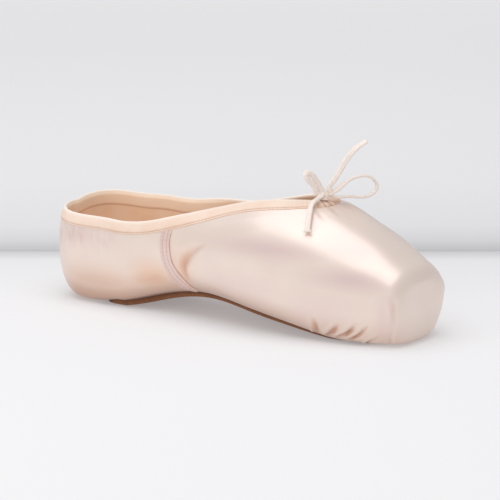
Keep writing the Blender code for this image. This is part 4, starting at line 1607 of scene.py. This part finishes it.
@dataclass
class Binding:
    """Cotton band folded over the collar, stitched down and gathered at the throat."""

    upper: SatinUpper
    lining: Lining
    rings: int = 620
    depth: float = 0.0062
    inner_depth: float = 0.0074
    throat_share: float = 0.86
    deeper_share: float = 0.24
    deeper_start: float = 70
    deeper_run: float = 45
    puff: float = 0.00070
    gather_reach: float = 9.0
    pucker_pitch: float = 2.3
    pucker_start: float = 0.4
    pucker_share: float = 0.45
    stitch_pitch: float = 0.0020
    stitch_length: float = 0.0013
    stitch_width: float = 0.00042
    stitch_dip: float = 0.00018
    tuck: float = 0.0001
    end_tuck: float = 0.00006
    ripple: float = 0.05
    ripple_runs: tuple[float, float] = (2.9, 4.7)
    top_lift: float = 0.0004
    top_share: float = 0.7

    def __post_init__(self) -> None:
        """Find even points round the collar's two edges, with their fades."""
        last, upper, lining = self.upper.last, self.upper, self.lining
        open_rows = [number for number, row in enumerate(upper.stations) if last.fade(row) > 0]
        throat = [open_rows[-1] + 1]
        right, left = open_rows[::-1], open_rows[1:]
        runs = ((throat, 0), (right, -1), (left, 0), (throat, 0))
        outer = np.concatenate([upper.points[rows, end] for rows, end in runs])
        inner = np.concatenate([resampled(lining.points[:, end], lining.stations, upper.stations[rows])
                                for rows, end in runs])
        fades = np.array([0.0] + [last.fade(upper.stations[row]) for row in right + left] + [0.0])
        far, inner_far = run_length(outer), run_length(inner)
        self.length = far[-1]
        self.far = np.linspace(0, self.length, self.rings, endpoint=False)
        self.outer = resampled(outer, far, self.far)
        self.inner = resampled(inner, inner_far, np.interp(self.far, far, inner_far))
        self.fades = np.interp(self.far, far, fades)
        self.ahead = unit(np.roll(self.outer, -1, axis=0) - np.roll(self.outer, 1, axis=0))
        self.normal = np.array([upper.surface.settle(edge)[1] for edge in self.outer])
        self.normal_in = np.array([lining.surface.settle(edge)[1] for edge in self.inner])
        self.down = unit(np.cross(self.normal, self.ahead))
        outward = (self.down * self.normal_in).sum(-1, keepdims=True)
        self.down_in = unit(self.down - self.normal_in * outward)
        self.over = -unit(self.down + self.down_in)
        self.centre = (self.outer + self.inner) / 2

    def leg(self, surface: Surface, edge: Points, heading: Points, depth: float,
            shares: Points) -> tuple[Points, Points]:
        """Points and normals down one face of the band.

        Args:
            surface: skin that the band lies on.
            edge: the collar's edge.
            heading: way down.
            depth: depth of the band.
            shares: shares of the depth.

        Returns:
            Points on the skin and normals there.
        """
        places, ways = (np.array(part) for part in zip(*surface.walk(edge, heading, depth)))
        where = np.linspace(0, 1, len(places))
        return resampled(places, where, shares), unit(resampled(ways, where, shares))

    def pucker(self, far: float) -> tuple[float, float]:
        """Gathering of the band by its drawstring, near the throat.

        Args:
            far: distance along the collar.

        Returns:
            How strongly it is gathered and its pucker, from -1 to 1.
        """
        side = far if far < self.length / 2 else far - self.length
        gather = math.exp(-(side / MM / self.gather_reach) ** 2)
        turn = 2 * math.pi * (side / MM - self.pucker_start) / self.pucker_pitch
        return gather, gather * math.cos(turn)

    def hole(self, far: float) -> float:
        """How near a place along the collar lies to a stitch, 0 to 1."""
        return math.exp(-(((far / self.stitch_pitch) % 1.0 - 0.5) / 0.24) ** 2)

    def top(self, number: int) -> Points:
        """The band's round over the wall's top edge.

        Args:
            number: number of the ring.

        Returns:
            Points from the outside to the inside.
        """
        apart = self.outer[number] - self.inner[number]
        half = float(np.linalg.norm(apart)) / 2 + 0.8 * self.puff
        rise = self.over[number] * (self.top_lift + half * self.top_share)
        return np.array([self.centre[number] + unit(apart) * half * math.cos(turn)
                         + rise * math.sin(turn) for turn in TOP_ARC])

    def ring(self, number: int) -> tuple[Points, Points, Points]:
        """One ring round the band, from its outer hem over the top and back underneath.

        Args:
            number: number of the ring.

        Returns:
            The ring's points, and place and normal of its stitch.
        """
        far, edge, edge_in = self.far[number], self.outer[number], self.inner[number]
        wave = far / MM
        narrow = self.throat_share + (1 - self.throat_share) * self.fades[number]
        place = (edge[0] - HEEL_BACK) / MM
        deeper = float(soft_step(np.array((place - self.deeper_start) / self.deeper_run)))
        depth = self.depth * narrow * (1 + self.deeper_share * deeper)
        short, long = self.ripple_runs
        ripple = self.ripple * (math.sin(wave / short) + math.sin(wave / long + 1.0))
        _, pucker = self.pucker(far)
        skin, ways = self.leg(self.upper.surface, edge, self.down[number], depth, BAND_SHARES)
        swell = 1 + ripple + self.pucker_share * pucker * (0.3 + BAND_SHARES)
        body = skin + ways * (self.puff * np.interp(BAND_SHARES, *BAND_RISES) * swell)[:, None]
        body[STITCH_COLUMN] -= ways[STITCH_COLUMN] * self.stitch_dip * self.hole(far)
        skin_in, ways_in = self.leg(self.lining.surface, edge_in, self.down_in[number],
                                    self.inner_depth * narrow, INNER_SHARES)
        rise_in = self.puff * np.interp(INNER_SHARES, *INNER_RISES) * (1 + ripple)
        body_in = skin_in + ways_in * rise_in[:, None]
        under = [skin_in[-1] + ways_in[-1] * self.end_tuck, skin_in[3] + ways_in[3] * self.tuck,
                 edge_in + self.normal_in[number] * self.tuck,
                 self.centre[number] + self.over[number] * 2 * self.tuck,
                 edge + self.normal[number] * self.tuck, skin[5] + ways[5] * self.tuck,
                 skin[-1] + ways[-1] * self.end_tuck]
        ring = np.concatenate([body[::-1], self.top(number), body_in, np.array(under)])
        return ring, body[STITCH_COLUMN], ways[STITCH_COLUMN]

    def marks(self) -> dict[str, Points]:
        """Painted highlight on the crest, tan inside, and painted shade in the folds, puckers and stitch
        dents of the band.

        Returns:
            Amounts for each point of each ring, by the mark's name.
        """
        hidden, inside = np.zeros(HIDDEN_COLUMNS), np.ones(len(INNER_SHARES))
        soft = np.exp(-(BAND_SHARES / 0.12) ** 2)
        # Painted highlight along the band's top, fading down its outer face.
        crest = np.concatenate([0.5 * soft[::-1], TOP_HIGHLIGHT, 0 * inside, hidden])
        lined = np.concatenate([0 * soft, TOP_INSIDE, inside, hidden])
        folds = []
        for far in self.far:
            gather, pucker = self.pucker(far)
            hole = self.hole(far)
            # Painted shade in the stitch dents, along the lower edge and in the puckers.
            dent = hole * np.exp(-((BAND_SHARES - 0.85) / 0.05) ** 2)
            dent += 0.35 * np.exp(-((BAND_SHARES - 1.0) / 0.03) ** 2)
            dent = np.maximum(dent, min(1.4 * max(-pucker, 0.0), 1.0) * (0.4 + 0.6 * BAND_SHARES))
            dent_in = 0.3 * (INNER_SHARES > 0.9) + 0.8 * hole * (INNER_SHARES == 0.88)
            folds.append(np.concatenate([dent[::-1], np.full(len(TOP_ARC), 0.25 * gather), dent_in,
                                         hidden]))
        return {"crest": np.tile(crest, (self.rings, 1)), "inside": np.tile(lined, (self.rings, 1)),
                "fold": np.clip(folds, 0, 1)}

    def build(self, cotton: Material, thread: Material) -> None:
        """Make the band and its stitches.

        Args:
            cotton: material of the band.
            thread: material of the stitches.
        """
        rings, places, ways = zip(*(self.ring(number) for number in range(self.rings)))
        cloth = ClothMesh("binding_band", np.array(rings), self.marks(), close_rows=True,
                          close_columns=True, closed=True)
        piece = cloth.build(cotton)
        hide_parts("binding")
        far = self.far / self.far[-1] * self.length
        stitches = []
        for count in range(int(self.length / self.stitch_pitch)):
            near = int(np.argmin(np.abs(far - self.stitch_pitch * (count + 1.0)))) % self.rings
            stitches.append((places[near], ways[near], self.ahead[near]))
        stitch_row("binding_stitches", stitches, self.stitch_length, self.stitch_width, thread)


def stitch_row(name: str, marks: Sequence[tuple[Points, Points, Points]], length: float,
               width: float, thread: Material) -> Piece:
    """Stitches as one mesh of small flattened beads.

    Args:
        name: name of the piece.
        marks: place, normal and heading of each stitch.
        length: length of a stitch.
        width: width of a stitch.
        thread: material of the stitches.

    Returns:
        The piece.
    """
    mesh = bmesh.new()
    for place, normal, heading in marks:
        heading = unit(heading - normal * (heading @ normal))
        across = np.cross(normal, heading)
        turn = Matrix((heading * length / 2, across * width / 2, normal * width / 3)).transposed()
        frame_of = Matrix.Translation(Vector(place + normal * width * 0.08)) @ turn.to_4x4()
        bmesh.ops.create_uvsphere(mesh, u_segments=8, v_segments=5, radius=1.0, matrix=frame_of)
    bmesh.ops.recalc_face_normals(mesh, faces=mesh.faces)
    piece = make_object(name, mesh, thread)
    return piece


SEAM_LINE = ((90.6, 28.4, 50.2), (90.3, 29.3, 46.0), (90.2, 30.0, 41.0), (90.8, 30.7, 36.0),
             (92.1, 30.9, 31.0), (94.7, 30.4, 26.0), (98.3, 29.0, 21.2), (102.6, 27.0, 17.0),
             (107.0, 25.0, 14.0))
SEAM_OFFSETS = np.array([-4.5, -4.3, -3.8, -3.0, -2.4, -1.8, -0.6, 0.0, 0.5, 1.0, 1.6, 2.2, 2.6, 2.75])
SEAM_RISES = np.array([0.04, 0.26, 0.36, 0.34, 0.16, 0.32, 0.42, 0.36, 0.20, 0.40, 0.56, 0.62, 0.46,
                       0.05])
SEAM_STITCH_COLUMNS = (4, 8)


@dataclass
class SideSeam:
    """Raised strip over the join of quarter and vamp, folded and stitched."""

    side: Side
    upper: SatinUpper
    rows: int = 90
    end_rows: int = 4
    stitch_rows: int = 4
    stitch_length: float = 0.0011
    stitch_width: float = 0.00045
    bottom: float = 0.04
    blush: float = 0.75
    band_heights: tuple[float, float] = (46.0, 48.0)
    lift: float = 0.05
    sway: float = 0.25
    waves: tuple[tuple[float, float], ...] = ((0.14, 0.35), (0.1, 0.83))

    def ring(self, number: int, place: Points, normal: Points, ahead: Points) -> Points:
        """One ring across the strip and back underneath.

        Args:
            number: number of the ring.
            place: the seam's place on the satin.
            normal: the satin's normal there.
            ahead: the seam's heading there.

        Returns:
            The ring's points.
        """
        across = unit(np.cross(normal, ahead)) * self.side.value
        if across[0] < 0:
            across = -across
        squeeze = round_end(min(number, self.rows - 1 - number), self.end_rows)
        squeeze *= float(np.interp(place[2] / MM, self.band_heights, [1.0, 0.2]))
        wave = sum(size * math.sin(number * rate) for size, rate in self.waves)
        high, low = [], []
        for offset, rise in zip(SEAM_OFFSETS, SEAM_RISES):
            spot, way = self.upper.surface.walk(place, across * math.copysign(1, offset),
                                                abs(offset + self.sway * wave) * MM)[-1]
            high.append(spot + way * (self.lift + rise * (1 + wave) * squeeze) * MM)
            low.append(spot + way * self.bottom * MM)
        return np.array(high + low[::-1])

    def shade(self, number: int) -> Points:
        """Painted shade of each point of a ring, at stitch holes and edges.

        Args:
            number: number of the ring.

        Returns:
            Amounts from 0 to 1.
        """
        hole = 0.06 + 0.94 * (number % self.stitch_rows < self.stitch_rows / 2)
        dark = 0.0
        for offset, width, amount in ((-2.4, 0.3, hole), (-4.3, 0.3, 0.7 * hole), (0.5, 0.3, hole),
                                      (2.75, 0.14, 1.0)):
            dark = dark + amount * np.exp(-((SEAM_OFFSETS - offset) / width) ** 2)
        return np.concatenate([dark, 0 * dark])

    def build(self, satin: Material, thread: Material) -> None:
        """Make the strip and its stitches.

        Args:
            satin: material of the strip.
            thread: material of the stitches.
        """
        name = self.side.name.lower()
        route = np.array(SEAM_LINE) * (1, self.side.value, 1) * MM + (HEEL_BACK, 0, 0)
        line = smooth_line(route, self.rows)
        rings, stitches = [], []
        for number, point in enumerate(line):
            place, normal = self.upper.surface.settle(point)
            ahead = unit(line[min(number + 1, self.rows - 1)] - line[max(number - 1, 0)])
            ring = self.ring(number, place, normal, ahead)
            rings.append(ring)
            if number % self.stitch_rows == self.stitch_rows - 1:
                stitches += [(ring[column], normal, ahead) for column in SEAM_STITCH_COLUMNS]
        rings = np.array(rings)
        # Painted shade at the stitch holes and the fold's edge, the rosy tone with painted reflection,
        # and tan with painted shade towards the lower end.
        marks = {"fold": np.array([self.shade(number) for number in range(self.rows)]),
                 "blush": np.full(rings.shape[:2], self.blush),
                 "hem": 0.4 * soft_step((30 - rings[..., 2] / MM) / 22)}
        cloth = ClothMesh(f"seam_strip_{name}", rings, marks, close_columns=True, closed=True)
        piece = cloth.build(satin)
        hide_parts(f"side_seam_{name}")
        stitch_row(f"seam_stitches_{name}", stitches, self.stitch_length, self.stitch_width, thread)


# The bow's routes are in millimetres from the knot's middle.
LOOP_LEFT = ((-1, -3.3, 4.5), (-2.1, -6, 9), (-3.5, -9, 12.4), (-4.6, -11.4, 12.8), (-4.5, -11.2, 10.5),
             (-3.1, -8.1, 7.2), (-2.6, -6.1, 4.2), (-2.5, -4.7, 1.8))
LOOP_RIGHT = ((3.6, 4.3, 2.2), (6, 7.8, 5.2), (9, 11.8, 7.9), (12.8, 17, 9), (16, 21.4, 6.7),
              (17.1, 23, 2.5), (15.2, 20.5, -1.3), (11.2, 15.2, -2.3), (7.4, 10.2, -1.6),
              (4.4, 6, -1.6))
END_UP = ((1.8, 1.2, 4.4), (3.4, 2.8, 7.8), (5.2, 4.6, 11.6), (7.4, 6.6, 16.8), (10.2, 9, 21.8),
          (13.2, 11.8, 25.6), (16.5, 14.5, 28.2))
END_DOWN = ((-0.6, -5.4, -0.6), (-0.8, -10.8, -2.6), (0.4, -14.6, -5), (2, -17.8, -7.2),
            (3.4, -20.8, -10), (4.6, -23, -12.4), (5.7, -25, -15))
KNOT_MIDDLE = np.array((0.0579, -0.0021, 0.0719))
KNOT_CROSS = MM * np.array(((-1.2, -2.4, 0.4), (-0.4, -1.8, 1.6), (0.4, -0.2, 2.3), (1, 1.6, 1.4),
                            (1.4, 2.2, -0.2)))
BRAID_WIDTH = 0.0030


@dataclass
class Braid:
    """A length of flat braid along a route."""

    route: Sequence[Sequence[float]]
    faces: Sequence[Sequence[float]]
    width: float = BRAID_WIDTH
    thickness: float = 0.0017
    rows: int = 150
    flare: float = 0.0
    columns: int = 20
    flare_length: float = 0.0016
    tip_length: float = 0.0005
    tip_share: float = 0.86
    corner_powers: tuple[float, float] = (0.75, 0.9)
    groove: tuple[float, float] = (0.22, 0.35)
    wobbles: tuple[Triple, Triple] = ((0.05, 2.1, 0.0), (0.04, 0.9, 1.0))

    def outline(self) -> tuple[Points, Points]:
        """Cross-section of the braid, with a groove along the middle of both faces.

        Returns:
            Shares of the half width and of the half thickness.
        """
        angles = np.linspace(0, 2 * math.pi, self.columns, endpoint=False)
        across, rise = (np.sign(wave) * np.abs(wave) ** power for wave, power
                        in zip((np.cos(angles), np.sin(angles)), self.corner_powers))
        depth, width = self.groove
        return across, rise * (1 - depth * np.exp(-(across / width) ** 2))

    def rings(self) -> tuple[Points, Points]:
        """Rings of the braid.

        Returns:
            The rings and the line through their middles.
        """
        line = smooth_line(self.route, self.rows)
        far = np.linspace(0, 1, self.rows)
        facing = np.array(self.faces, float)
        face = resampled(facing, np.linspace(0, 1, len(facing)), far)
        ahead = unit(np.gradient(line, axis=0))
        face = unit(face - ahead * (face * ahead).sum(-1, keepdims=True))
        side = np.cross(ahead, face)
        across, rise = self.outline()
        length = run_length(line)[-1]
        count = far * length / MM
        wobble = 1 + sum(size * np.sin(count * rate + shift) for size, rate, shift in self.wobbles)
        end = np.clip(1 - (1 - far) * length / self.flare_length, 0, 1)
        near = np.clip(np.minimum(far, 1 - far) * length / self.tip_length, 0, 1)
        tip = np.sqrt(1 - (1 - near) ** 2)
        wide = self.width / 2 * wobble * (1 + self.flare * soft_step(end))
        wide = wide * (self.tip_share + (1 - self.tip_share) * tip)
        thick = self.thickness / 2 * tip
        rings = (line[:, None] + side[:, None] * (wide[:, None] * across)[..., None]
                 + face[:, None] * (thick[:, None] * rise)[..., None])
        return rings, line


@dataclass
class Bow:
    """The drawstring's bow at the throat: two cords and the knot that holds them."""

    lean: Triple = (0.30, 0.25, 1.0)
    view: Triple = (0.58, -0.78, 0.2)
    wrap_turns: float = 1.72
    wrap_points: int = 15
    wrap_radii: tuple[float, float] = (0.00165, 0.00150)
    wrap_top: float = 0.0008
    wrap_fall: float = 0.00026
    wrap_wave: float = 0.0003
    core_stops: tuple[float, ...] = (-0.0018, -0.0006, 0.0006, 0.0018)

    def wrap(self, along: Points, side: Points, front: Points) -> Braid:
        """The braid's turns round the knot.

        Args:
            along: way along the knot.
            side: way to its side.
            front: way to its front.

        Returns:
            The braid.
        """
        route, faces = [], []
        for turn in np.linspace(0, 2 * math.pi * self.wrap_turns, self.wrap_points):
            across, ahead = side * math.cos(turn), front * math.sin(turn)
            wide, deep = self.wrap_radii
            rise = self.wrap_top - self.wrap_fall * turn + self.wrap_wave * math.sin(0.5 * turn)
            route.append(KNOT_MIDDLE + across * wide + ahead * deep + along * rise)
            faces.append(across + ahead + along * 0.15)
        return Braid(route, faces, 0.0025, 0.0011, 120)

    def cord(self, name: str, braid: Braid, nodes: Sequence[str],
             material: Material) -> Piece:
        """Args:
            name: name of the piece.
            braid: its shape.
            nodes: solids that it stands for.
            material: the braid.

        Returns:
            The piece.
        """
        rings, line = braid.rings()
        cloth = ClothMesh(name, rings, {"fold": np.zeros(rings.shape[:2])}, close_columns=True,
                          closed=True)
        piece = cloth.build(material)
        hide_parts(*nodes)
        return piece

    def knot(self, material: Material) -> Piece:
        """Make the knot: a wrap of braid round the crossing.

        Args:
            material: the braid.

        Returns:
            The piece.
        """
        along = unit(np.array(self.lean))
        side = unit(np.cross(along, np.array(self.view)))
        front = np.cross(side, along)
        cross = [front, front + along, along, along + front, front]
        core = [KNOT_MIDDLE + along * far for far in self.core_stops]
        pieces = []
        for name, shade, braid in (
                ("wrap", 0.15, self.wrap(along, side, front)),
                ("cross", 0.35, Braid(KNOT_MIDDLE + KNOT_CROSS, cross, 0.0024, 0.0011, 50)),
                ("core", 0.35, Braid(core, [front] * len(core), 0.0034, 0.0030, 30))):
            rings, _ = braid.rings()
            cloth = ClothMesh(f"knot_{name}", rings, {"fold": np.full(rings.shape[:2], shade)},
                              close_columns=True, closed=True)
            piece = cloth.build(material)
            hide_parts("drawstring_knot")
            pieces.append(piece)
        return pieces[0]

    def build(self, material: Material) -> None:
        """Make the bow.

        Args:
            material: the braid.
        """
        knot = self.knot(material)
        view, up = np.array((0.58, -0.78, 0.21)), np.array((0.0, 0.15, 1.0))
        side = np.array((-0.2, -0.9, 0.4))
        left = KNOT_MIDDLE + MM * np.array([(0.2, -1, 0.8), *LOOP_LEFT, (-0.8, -2.4, 1), *END_DOWN])
        faces = [view, view + (0, 0, 0.3), view, view + (-0.3, 0, 0.4), view, view + (0.3, 0, -0.3),
                 side, side + (0.2, 0, 0.4), (0.25, -0.55, 0.8), (0.25, -0.6, 0.75),
                 (0.3, -0.65, 0.7)]
        self.cord("drawstring_left", Braid(left, faces, rows=230, flare=0.6),
                  ["drawstring_loop_left", "drawstring_end_down"], material)
        right = KNOT_MIDDLE + MM * np.array([(1, 0.8, 0.6), *LOOP_RIGHT, (1.6, 1.6, 0.6), *END_UP])
        faces = [view + up, view + up, up, up, up + (0.3, 0.3, 0), (0.6, 0.8, 0.1),
                 (0.4, 0.4, -0.8), -up, -up, -up, (0.5, -0.7, -0.5), view, view,
                 view + (0.1, 0, 0), view + (-0.2, -0.2, 0.4), view + (-0.7, -0.5, 1.2)]
        self.cord("drawstring_right", Braid(right, faces, rows=280),
                  ["drawstring_loop_right", "drawstring_end_up"], material)


PICTURE = 500
PAPER_BEHIND = np.array([4.0, 3.2, 2.6, 2.1, 1.7, 1.4, 1.1, 0.9, 0.7, 0.5, 0.35, 0.234, 0.15, 0.1, 0.074,
                         0.05, 0.029, 0.015, 0.006, 0.001])
PAPER_BEFORE = np.array([0.0, 0.0012, 0.003, 0.006, 0.012, 0.020, 0.029, 0.045, 0.07, 0.1, 0.135,
                         0.2, 0.3, 0.5, 0.8, 1.2, 1.8, 2.6, 4.0])
# Painted shade darkens the paper along the line behind the shoe; the glow is painted light that brightens
# the far paper and lifts the shoe's shadow.
TONE_AND_SHADE_BEHIND = ((0.006, 0.029, 0.074, 0.234, 0.6), (0.54, 0.64, 0.70, 0.76, 0.80))
TONE_AND_SHADE_BEFORE = ((0, 0.006, 0.029, 0.135, 1.8), (0.46, 0.48, 0.56, 0.62, 0.62))
GLOW_BEHIND = ((0.0, 0.02, 0.07, 0.3, 0.8, 1.6, 2.6, 4.0),
               (0.05, 0.06, 0.10, 0.13, 0.19, 0.31, 0.37, 0.37))
GLOW_BEFORE = ((0.0, 0.006, 0.03, 0.5, 1.2), (0.04, 0.16, 0.27, 0.27, 0.25))


@dataclass(frozen=True)
class Lamp:
    """A soft box, and whether glossy surfaces show it."""

    name: str
    place: Triple
    aim: Triple
    size: tuple[float, float]
    power: float
    colour: Colour
    mirrored: bool

    def build(self) -> None:
        """Add the lamp to the scene."""
        data = bpy.data.lights.new(self.name, "AREA")
        data.shape = "RECTANGLE"
        data.size, data.size_y = self.size
        data.energy = self.power
        data.color = self.colour
        lamp = bpy.data.objects.new(self.name, data)
        lamp.location = self.place
        lamp.visible_glossy = self.mirrored
        away = Vector(self.aim) - Vector(self.place)
        lamp.rotation_euler = away.to_track_quat("-Z", "Y").to_euler()
        bpy.context.scene.collection.objects.link(lamp)


LAMPS = (
    Lamp("overhead", (-0.03, -0.22, 1.15), (0.0, 0.0, 0.0), (1.45, 1.3), 8.3, (0.98, 0.98, 1.0), True),
    Lamp("front", (0.1, -1.6, 0.6), (0.0, 0.0, 0.03), (2.0, 0.8), 4.7, (1.0, 0.99, 0.98), False),
    Lamp("low", (-0.65, -1.1, 0.24), (-0.02, 0.0, 0.02), (1.3, 0.36), 1.2, (1.0, 0.985, 0.97), False),
)


@dataclass
class Studio:
    """Camera at the photo's angle, pale paper under and behind the shoe, and soft light."""

    azimuth: float = math.radians(36.69)
    height_angle: float = math.radians(12.18)
    distance: float = 1.37595
    roll: float = math.radians(-0.67)
    target: Triple = (0.0005, 0.0, 0.030)
    focal: float = 2537.24
    centre: tuple[float, float] = (241.05, 259.6)
    sensor: float = 36.0
    clip: tuple[float, float] = (0.05, 20.0)
    paper_side: float = 4.0
    paper_columns: int = 81
    paper_white: Colour = (1.0, 0.992, 0.996)
    paper_glow: Colour = (1.0, 0.99, 1.0)
    sky: tuple[float, float, float, float] = (0.97, 0.98, 1.0, 1.0)
    sky_strength: float = 0.55

    def axes(self) -> tuple[Points, Points, Points]:
        """Find the camera's axes.

        Returns:
            Its right, up and back.
        """
        swing, rise, roll = self.azimuth, self.height_angle, self.roll
        back = np.array((math.sin(swing) * math.cos(rise), -math.cos(swing) * math.cos(rise),
                         math.sin(rise)))
        right = np.array((math.cos(swing), math.sin(swing), 0.0))
        up = np.cross(back, right)
        return (math.cos(roll) * right + math.sin(roll) * up,
                math.cos(roll) * up - math.sin(roll) * right, back)

    def camera(self) -> None:
        """Place the camera."""
        right, up, back = self.axes()
        data = bpy.data.cameras.new("camera")
        data.sensor_width = self.sensor
        data.lens = self.focal / PICTURE * self.sensor
        data.shift_x = (PICTURE / 2 - self.centre[0]) / PICTURE
        data.shift_y = (self.centre[1] - PICTURE / 2) / PICTURE
        data.clip_start, data.clip_end = self.clip
        camera = bpy.data.objects.new("camera", data)
        place = np.array(self.target) + back * self.distance
        turn = Matrix((right, up, back)).transposed().to_4x4()
        camera.matrix_world = Matrix.Translation(Vector(place)) @ turn
        bpy.context.scene.collection.objects.link(camera)
        bpy.context.scene.camera = camera

    def on_floor(self, across: float, down: float) -> Points:
        """Where a picture point falls on the floor.

        Args:
            across: the point's distance from the picture's left.
            down: the point's distance from the picture's top.

        Returns:
            The place.
        """
        right, up, back = self.axes()
        place = np.array(self.target) + back * self.distance
        ray = right * (across - self.centre[0]) - up * (down - self.centre[1])
        ray = ray / self.focal - back
        return place - ray * place[2] / ray[2]

    def paper(self) -> Material:
        """Build the paper's material.

        Returns:
            The material.
        """
        net = Nodes("paper")
        tint = net.mix(net.mark("tone"), (0.0, 0.0, 0.0), self.paper_white)
        cloud = net.noise(net.scaled(), 3.0, 2)
        tint = net.mix(net.maths("MULTIPLY", cloud, 0.03), tint, (0.8, 0.8, 0.8))
        return net.finish(Base_Color=tint, Roughness=0.9, Specular_IOR_Level=0.1,
                          Emission_Color=self.paper_glow, Emission_Strength=net.mark("glow"))

    def backdrop(self) -> None:
        """Lay pale paper with painted shade along a line behind the shoe, and a glow of painted light
        over it.
        """
        left, right = self.on_floor(0, PICTURE / 2), self.on_floor(PICTURE, PICTURE / 2)
        along = unit(right - left)
        toward = np.cross(along, (0.0, 0.0, 1.0))
        sides = np.linspace(-self.paper_side, self.paper_side, self.paper_columns)
        far = np.concatenate([-PAPER_BEHIND, PAPER_BEFORE])
        rows = (left + right) / 2 + along * sides[None, :, None] + toward * far[:, None, None]
        marks = {}
        for name, behind, before in (("tone", TONE_AND_SHADE_BEHIND, TONE_AND_SHADE_BEFORE),
                                     ("glow", GLOW_BEHIND, GLOW_BEFORE)):
            values = [np.interp(PAPER_BEHIND, *behind), np.interp(PAPER_BEFORE, *before)]
            marks[name] = np.repeat(np.concatenate(values)[:, None], len(sides), axis=1)
        ClothMesh("backdrop", rows, marks, stage=True).build(self.paper())

    def light(self) -> None:
        """Set the world's light and the lamps."""
        world = bpy.data.worlds.new("world")
        world.use_nodes = True
        sky = world.node_tree.nodes["Background"]
        sky.inputs["Color"].default_value = self.sky
        sky.inputs["Strength"].default_value = self.sky_strength
        bpy.context.scene.world = world
        for lamp in LAMPS:
            lamp.build()
        bpy.context.scene.view_settings.view_transform = "Standard"

    def build(self) -> None:
        """Set up the whole studio."""
        self.camera()
        self.backdrop()
        self.light()


LINING_COTTON = CottonFinish("tan_lining", (0.97, 0.72, 0.53), (0.94, 0.64, 0.42), (0.97, 0.80, 0.64))
BAND_COTTON = CottonFinish("peach_binding", (0.90, 0.71, 0.58), (0.85, 0.62, 0.48), (0.98, 0.88, 0.78),
                           (0.97, 0.72, 0.52), relief=0.6)
SOCK_COTTON = CottonFinish("tan_insole", (0.70, 0.50, 0.36), (0.60, 0.40, 0.27), (0.78, 0.62, 0.48))
THREAD = CottonFinish("thread", (0.68, 0.42, 0.31), (0.60, 0.34, 0.25), (0.78, 0.54, 0.43), pitch=0.0003)
SOLE_EDGE = 0.0008
SOCK_EDGE = 0.0006
SOCK_END = 0.2160
SOCK_THICKNESS = 0.0016


def soles(last: Last) -> tuple[SolePlate, SolePlate]:
    """The leather sole and the sock inside.

    Args:
        last: the last.

    Returns:
        Both plates.
    """
    sizes = last.sizes
    leather = SolePlate(last, "leather_sole", "outsole", "sole_leather", sizes.sole_heel_end,
                        sizes.sole_toe_end, 0.0, sizes.sole_thickness, SOLE_EDGE)
    seat = sizes.sole_thickness + sizes.floor_wall + 2 * sizes.gap
    start = sizes.heel_radius - last.curves["tread"](0.0) + SolePlate.clearance
    sock = SolePlate(last, "sock", "insole", "lining_cotton", start, SOCK_END, seat,
                     seat + SOCK_THICKNESS, SOCK_EDGE, True)
    return leather, sock


def main() -> None:
    """Build the studio and the shoe."""
    logging.basicConfig(level=logging.INFO, format="%(name)s %(message)s")
    Studio().build()
    last = Last(LastSizes())
    satin, thread = SatinFinish().material(), THREAD.material()
    Bow().build(BraidFinish().material())
    upper = SatinUpper(last)
    upper.build(satin)
    lining = Lining(last, upper)
    lining.build(LINING_COTTON.material())
    leather, sock = soles(last)
    leather.build(LeatherFinish().material())
    sock.build(SOCK_COTTON.material())
    Binding(upper, lining).build(BAND_COTTON.material(), thread)
    for side in Side:
        SideSeam(side, upper).build(satin, thread)


if __name__ == "__main__":
    main()
